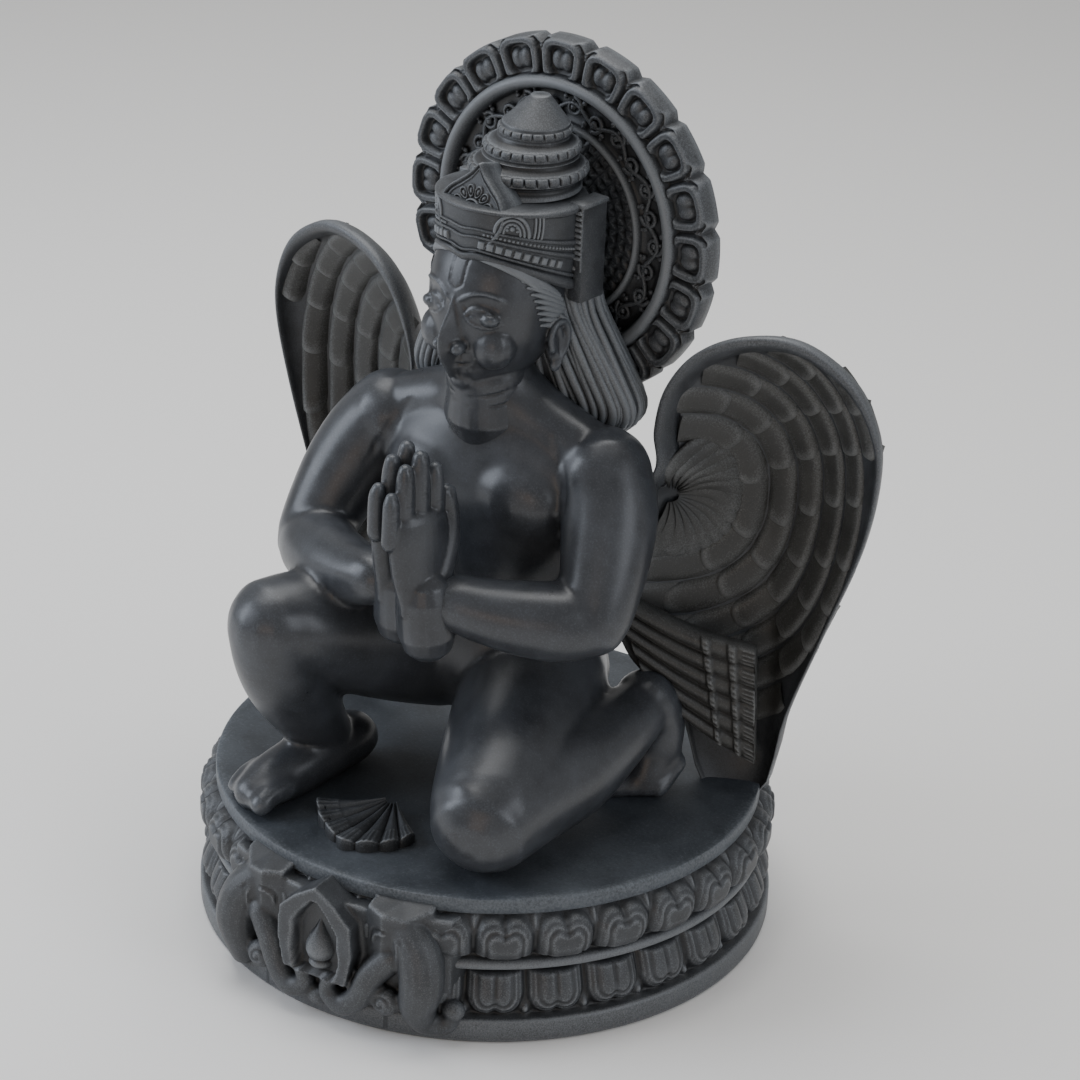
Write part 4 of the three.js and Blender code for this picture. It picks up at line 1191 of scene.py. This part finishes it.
# leaf-shaped plaque: double border and a flower of long ringed petals
def makePlaque(c):
    rise, out = np.array([0, 0.242, 0.970]), np.array([0, -0.970, 0.242])
    cx, cy, cz = head["centre"]
    root = np.array([cx, cy - 53.2, cz + 6.8])
    right = np.array(c["leaf"], float)
    loop = np.vstack([right, (right * [-1, 1])[-2:0:-1]])
    side = spline(right, 200)
    loop = np.vstack([side, (side * [-1, 1])[-2:0:-1]])
    middle = np.array([0, 76.0])
    angle = np.arctan2(loop[:, 0], loop[:, 1] - middle[1])
    reach = np.hypot(loop[:, 0], loop[:, 1] - middle[1])
    order = np.argsort(angle)
    t = np.linspace(-np.pi, np.pi, 208, endpoint=False)
    size = np.interp(t, angle[order], reach[order], period=2 * np.pi)
    petals = 13
    rows = []
    for s in np.concatenate([np.linspace(0.02, 1, 62)]):
        r = size * s
        edge = size * (1 - s)
        ridge = lambda at, wide, tall: tall * np.sqrt(np.clip(1 - ((edge - at) / wide) ** 2, 0, 1))
        h = 1.0 + ridge(1.6, 1.9, 2.2) + ridge(5.4, 1.0, 1.1)
        u = (t / (2 * np.pi) * petals % 1) * 2 - 1
        q = np.sqrt((u / 0.86) ** 2 + ((r - 15.6) / 5.4) ** 2)
        flower = 1.9 * np.clip(1 - ((q - 0.86) / 0.20) ** 2, 0, 1) + 1.9 * np.sqrt(np.clip(1 - (q / 0.52) ** 2, 0, 1))
        h = h + np.where(edge > 6.6, flower, 0)
        h = h + 2.8 * np.clip(1 - ((r - 8.6) / 1.5) ** 2, 0, 1) + 3.0 * np.sqrt(np.clip(1 - (r / 5.4) ** 2, 0, 1))
        h = h - 3.0 * np.clip(1 - edge / 1.0, 0, 1)
        x, y = r * np.sin(t), middle[1] + r * np.cos(t)
        rows.append(root + x[:, None] * [1, 0, 0] + y[:, None] * rise + h[:, None] * out)
    outline = rows[-1] - (rows[-1] @ out)[:, None] * out + (root @ out) * out
    rows += [outline + out * h for h in (-4, -14, -24)]
    return outward(sheetOf(np.array(rows), True, True, True))


about = head["centre"][:2]
makePiece("crown", moved(makeCrown(crown), head["turn"], about), "chiselledRelief", sharp=60)
makePiece("crown_plaque", moved(makePlaque(crown), head["turn"], about), "chiselledRelief")


# Hair: combed back from the brow in short waves, then falling over both shoulders in long strands

hair = {
    "fall": [  # height, x, y, half width, depth to the front, depth to the back, squareness
        (616, -5, 34, 48, 36, 38, 2.2), (585, -5, 32, 60, 38, 43, 2.3), (545, -4, 34, 70, 33, 43, 2.4),
        (500, -2, 39, 93, 31, 41, 2.6), (472, 0, 42, 106, 31, 39, 2.8), (456, 0, 43, 101, 28, 35, 2.7), (444, 0, 44, 90, 22, 28, 2.6),
    ],
    "strands": 84, "thick": 3.6,
}


def fallPoint(a, z, swell=0.0):
    s = np.array(hair["fall"][::-1], float)
    x, y, half, front, back, square = (np.interp(z, s[:, 0], s[:, k]) for k in range(1, 7))
    power = lambda v: np.sign(v) * np.abs(v) ** (2 / square)
    sine = power(-np.cos(a))
    return np.stack([x + (half + swell) * power(np.sin(a)), y + sine * (np.where(sine < 0, front, back) + swell),
                     z + 0 * a], -1)


def makeHair(h):
    forms = [rings([list(r) for r in h["fall"]], 96, 60)]
    for n in range(h["strands"]):
        a = 2 * math.pi * (n + 0.5) / h["strands"]
        sway = 0.10 * math.sin(n * 1.7)
        side = math.sin(a)
        path = []
        for k in range(16):
            t = k / 15
            z = 612 - 166 * t ** 1.05
            turn = a + sway * math.sin(t * 5 + n) * 0.5
            path.append([*fallPoint(np.array(turn), z, 0.4 - 3.0 * (t > 0.96)), h["thick"] * (0.75 + 0.35 * math.sin(n * 2.3 + 3 * t))])
        forms.append(tube(path, 34, 7))
    return join(forms)


# waves from the hairline towards the ear, laid on the turned head
def makeTempleHair():
    cx, cy, _ = head["centre"]

    def worldOf(p):
        return moved((np.array([atHead(p)], float), None), head["turn"], (cx, cy))[0][0]

    line = spline([(8, 47, 46), (24, 43, 44), (37, 34, 38), (45, 25, 28), (49.5, 17, 14), (50.5, 11, 0), (49.5, 5, -14)], 15)
    forms = []
    for hand in (-1, 1):
        for n, (x, ahead, up) in enumerate(line):
            t = n / (len(line) - 1)
            path = []
            for k in range(7):
                q = k / 6
                back = ahead - (34 + 10 * t) * q
                wide = 51.5 - (51.5 - x) * (1 - q) ** 2.2
                path.append([*worldOf((hand * wide, back, up + 2 - (16 + 10 * (1 - t)) * q ** 1.3)), 0])
            rows, _ = headSkin.laid(path, 0.6, [1.2, 2.7, 3.0, 3.0, 2.6], 3.0)
            forms.append(tube(rows, len(rows) * 2, 8))
    return join(forms)


makePiece("long_hair", makeHair(hair), "chiselledRelief")
makePiece("temple_hair", makeTempleHair(), "chiselledRelief")


# Hands pressed together, the plane between them turned a little to the statue's right

hands = {
    "origin": (4.0, -128.0, 340.0), "turn": -17.0, "voxel": 1.4,
    "fingers": [(-16, 116, 7.4), (0, 130, 7.9), (15, 122, 7.5), (29, 101, 6.6)],  # forward, tip height, radius
}


def makeHands(h):
    c, s = math.cos(math.radians(h["turn"])), math.sin(math.radians(h["turn"]))

    def place(across, front, up, *radius):
        x, y = across, -front
        ox, oy, oz = h["origin"]
        return [ox + x * c - y * s, oy + x * s + y * c, oz + up, *radius]

    forms, strokes = [], []
    side = [c, s, 0]
    for hand in (-1, 1):
        lag = 0 if hand > 0 else 3
        at = lambda a, f, u, *r: place(hand * a, f, u + lag, *r)
        palm = [at(15, 2, -8, 25), at(15, 2, 4, 26), at(12, 5, 30, 29), at(11, 7, 56, 29.5), at(10, 7, 72, 27)]
        forms.append(tube(palm, 14, 26, flat=0.44, side=side, ends=(0.5, 0.35)))
        for front, tip, thick in h["fingers"]:
            root = at(9.0, front + 6, 58, thick + 0.8)
            mid = at(9.2, front + 5.8, 0.5 * (64 + tip), thick + 0.5)
            knuckle = at(8.8, front + 5.5, 0.75 * tip + 16, thick)
            forms.append(tube([root, mid, knuckle, at(8.4, front + 5, tip - thick + 2, thick - 1.2)], 16, 14, side=side))
            nail = [at(8.4 + thick, front + 5, tip - thick * 0.6), at(8.0 + thick, front + 5, tip + 2)]
            strokes.append((nail, 4.0, -0.8))
            for height in (0.46, 0.72):  # creases over the knuckles
                z = 64 + (tip - 64) * height
                for step in (-1.6, 1.6):
                    strokes.append(([at(9 + thick, front + 1, z + step), at(10 + thick, front + 5.5, z + step),
                                     at(9 + thick, front + 10, z + step)], 1.2, -0.8))
        thumb = [at(13, -12, 22, 14), at(11, -22, 44, 11), at(8.5, -26, 66, 9.2), at(7.6, -24, 86, 7.8)]
        forms.append(tube(thumb, 18, 14, side=side))
        strokes.append(([at(15, -25, 84), at(14, -24, 92)], 4.0, -0.8))
        forms.append(tube([at(16, 0, -30, 24), at(15, 1, -12, 24), at(15, 2, 4, 24)], 8, 20))
    form = fused(join(forms), h["voxel"], 3)
    return carve(form, strokes)


handForm = makeHands(hands)
handSkin = Skin(handForm)
makePiece("praying_hands", handForm, "oiledSkin")


# Cloth: ribbed train tied to the left wing, pleated fan on the plinth

train = {
    "corners": [(92, 34, 306), (134, 45, 214), (213, 74, 266), (217, 79, 156)],  # start top, start low, end top, end low
    "ribs": 6, "bands": (0.66, 0.84), "thick": 11.0,
}


def makeTrain(c):
    a, b, e, f = (np.array(p, float) for p in c["corners"])
    out = unit(np.cross(e - a, b - a))
    out = out if out[1] < 0 else -out
    u, v = np.meshgrid(np.linspace(0, 1, 90), np.linspace(0, 1, 110), indexing="ij")
    base = (a * (1 - u[..., None]) + e * u[..., None]) * (1 - v[..., None]) + (b * (1 - u[..., None]) + f * u[..., None]) * v[..., None]
    sag = 7 * np.sin(np.pi * u) * (1 - 0.3 * v)
    base[..., 2] -= sag
    phase = (v * c["ribs"]) % 1
    rib = np.abs(np.sin(np.pi * phase)) ** 0.55
    lift = 7.0 * rib * (1 - 0.35 * np.clip((u - 0.6) / 0.2, 0, 1))
    for at in c["bands"]:
        near = np.clip(1 - np.abs(u - at) / 0.045, 0, 1)
        lift = lift + 2.0 * (near > 0.35) + 1.1 * (near > 0.6) * np.abs(np.sin(v * 60))
    fringe = np.clip((u - 0.9) / 0.02, 0, 1)
    lift = lift + fringe * (1.6 * np.abs(np.sin(v * 84)) - 1.0)
    front = base + lift[..., None] * out
    back = base - c["thick"] * out
    shell = np.concatenate([front, back[:, ::-1]], axis=1)
    return outward(sheetOf(shell, True, True, True))


fan = {
    "root": (-12, -128, 131), "rim": [(-72, -156), (-58, -176), (-38, -192), (-14, -204), (8, -194), (24, -178), (30, -158)],
    "lobes": 7, "height": 11.0,
}


def makeFan(c):
    rim = spline([(*p, 0) for p in c["rim"]], 141)[:, :2]
    root = np.array(c["root"][:2], float)
    rows = []
    share = (np.linspace(0, 1, 141) * c["lobes"]) % 1
    lobe = np.abs(np.sin(np.pi * share)) ** 0.6
    for t in np.linspace(0.12, 1, 40):
        p = root + (rim - root) * (t * (0.94 + 0.06 * lobe))[:, None] if t > 0.9 else root + (rim - root) * t
        z = 129 + c["height"] * (0.55 + 0.45 * t) * (0.45 + 0.55 * lobe) + 10 * (1 - t) ** 2
        if t > 0.72:
            z = z + 0.9 * np.abs(np.sin(np.linspace(0, 1, 141) * 95)) * (0.4 + 0.6 * np.abs(math.sin(t * 70)))
        rows.append(np.column_stack([p, z]))
    edge = rows[-1]
    rows += [np.column_stack([edge[:, :2], 129 + (edge[:, 2] - 129) * s]) for s in (0.85, 0.4, -0.1)]
    return facing(sheetOf(np.array(rows)), (0, 0, 1))


makePiece("train", makeTrain(train), "dryFeather")
makePiece("fan_fold", makeFan(fan), "chiselledRelief")


# Front of the plinth: faceted hoods over a pointed niche with a flame bud, and a curling trunk to each side

front = {"voxel": 1.7, "reach": 262.0}


def slabOf(outline, low, high):
    loop = np.array(outline, float)
    rows = [np.column_stack([loop, np.full(len(loop), float(z))]) for z in (low, high)]
    return outward(sheetOf(np.array(rows), True, True, True))


def solidOf(bottom, top):
    return outward(sheetOf(np.array([bottom, top], float), True, True, True))


def makeFront(f):
    forms = [slabOf([(-112, -196), (112, -196), (107, -222), (60, -243), (0, -250), (-60, -243), (-107, -222)], 1, 112)]
    # the niche: an upright pointed hood with a sloping roof from the disc
    arch = [(-31, 42), (31, 42), (37, 72), (35, 98), (20, 113), (0, 126), (-20, 113), (-35, 98), (-37, 72)]
    forms.append(solidOf([(x * 0.9, -214, z) for x, z in arch], [(x, -f["reach"], z) for x, z in arch]))
    for hand in (-1, 1):
        hood = [(38, -206, 128), (84, -200, 128), (92, -224, 118), (78, -244, 112), (60, -252, 116), (42, -246, 118)]
        forms.append(solidOf([(hand * x, y, 72) for x, y, z in hood], [(hand * x, y, z) for x, y, z in hood]))
        forms.append(tube([[hand * 70, -232, 100, 17], [hand * 86, -236, 82, 19], [hand * 92, -240, 58, 19],
                           [hand * 88, -238, 34, 16], [hand * 92, -232, 18, 12], [hand * 106, -224, 16, 9], [hand * 112, -222, 26, 7]], 40, 16,
                          side=[0, 1, 0.1]))
        forms.append(tube([[hand * 64, -244, 74, 12], [hand * 50, -250, 56, 12], [hand * 40, -253, 34, 11], [hand * 26, -256, 22, 10],
                           [hand * 12, -257, 30, 8], [hand * 15, -258, 44, 6.5], [hand * 24, -258, 46, 5]], 44, 14, side=[0, 1, 0.1]))
        forms.append(ball((hand * 112, -222, 30), (10, 9, 9)))
        forms.append(ball((hand * 62, -248, 34), (13, 9, 13)))
    forms.append(ball((0, -252, 20), (12, 10, 9)))
    form = fused(join(forms), f["voxel"], 2)
    points, faces = form
    # recess of the niche and small cuts
    inner = np.abs(points[:, 0]) / np.interp(points[:, 2], [44, 60, 88, 100, 114], [20, 24, 22, 14, 0.5])
    deep = np.clip((1 - inner) / 0.12, 0, 1) * (points[:, 2] > 45) * (points[:, 2] < 113) * np.clip((-points[:, 1] - 240) / 8, 0, 1)
    points = points.copy()
    points[:, 1] += 11 * deep
    form = (points, faces)
    face = Skin(form)
    cuts = []
    for hand in (-1, 1):
        for k in range(2):
            grow = 3.2 * k
            path = [(hand * (62 - 13 - grow), -252, 74), (hand * (62 - 13 - grow), -252, 92 + grow), (hand * 62, -254, 98 + grow),
                    (hand * (62 + 13 + grow), -248, 92 + grow), (hand * (62 + 13 + grow), -246, 74)]
            cuts.append(([face.on(p)[0] for p in path], 1.5, -1.3 if k else 1.6))
        spiral = [(hand * 62 + 9 * (1 - t) * math.cos(7 * t), -256, 34 + 9 * (1 - t) * math.sin(7 * t)) for t in np.linspace(0, 0.95, 9)]
        cuts.append(([face.on(p)[0] for p in spiral], 1.5, -1.5))
    form = carve(form, cuts)
    bud = [(1.0, 0), (9, 0.5), (10.5, 3), (9.5, 6), (7.5, 7.5), (11, 9.5), (13, 15), (12.6, 21), (9.5, 29), (5, 36), (1.6, 43), (0.3, 46)]
    flame = lathe((0, -250, 48), (0, 0, 1), [(r, h) for r, h in bud], 28, (0, -1, 0))
    return join([form, flame])


makePiece("plinth_front", makeFront(front), "chiselledRelief")
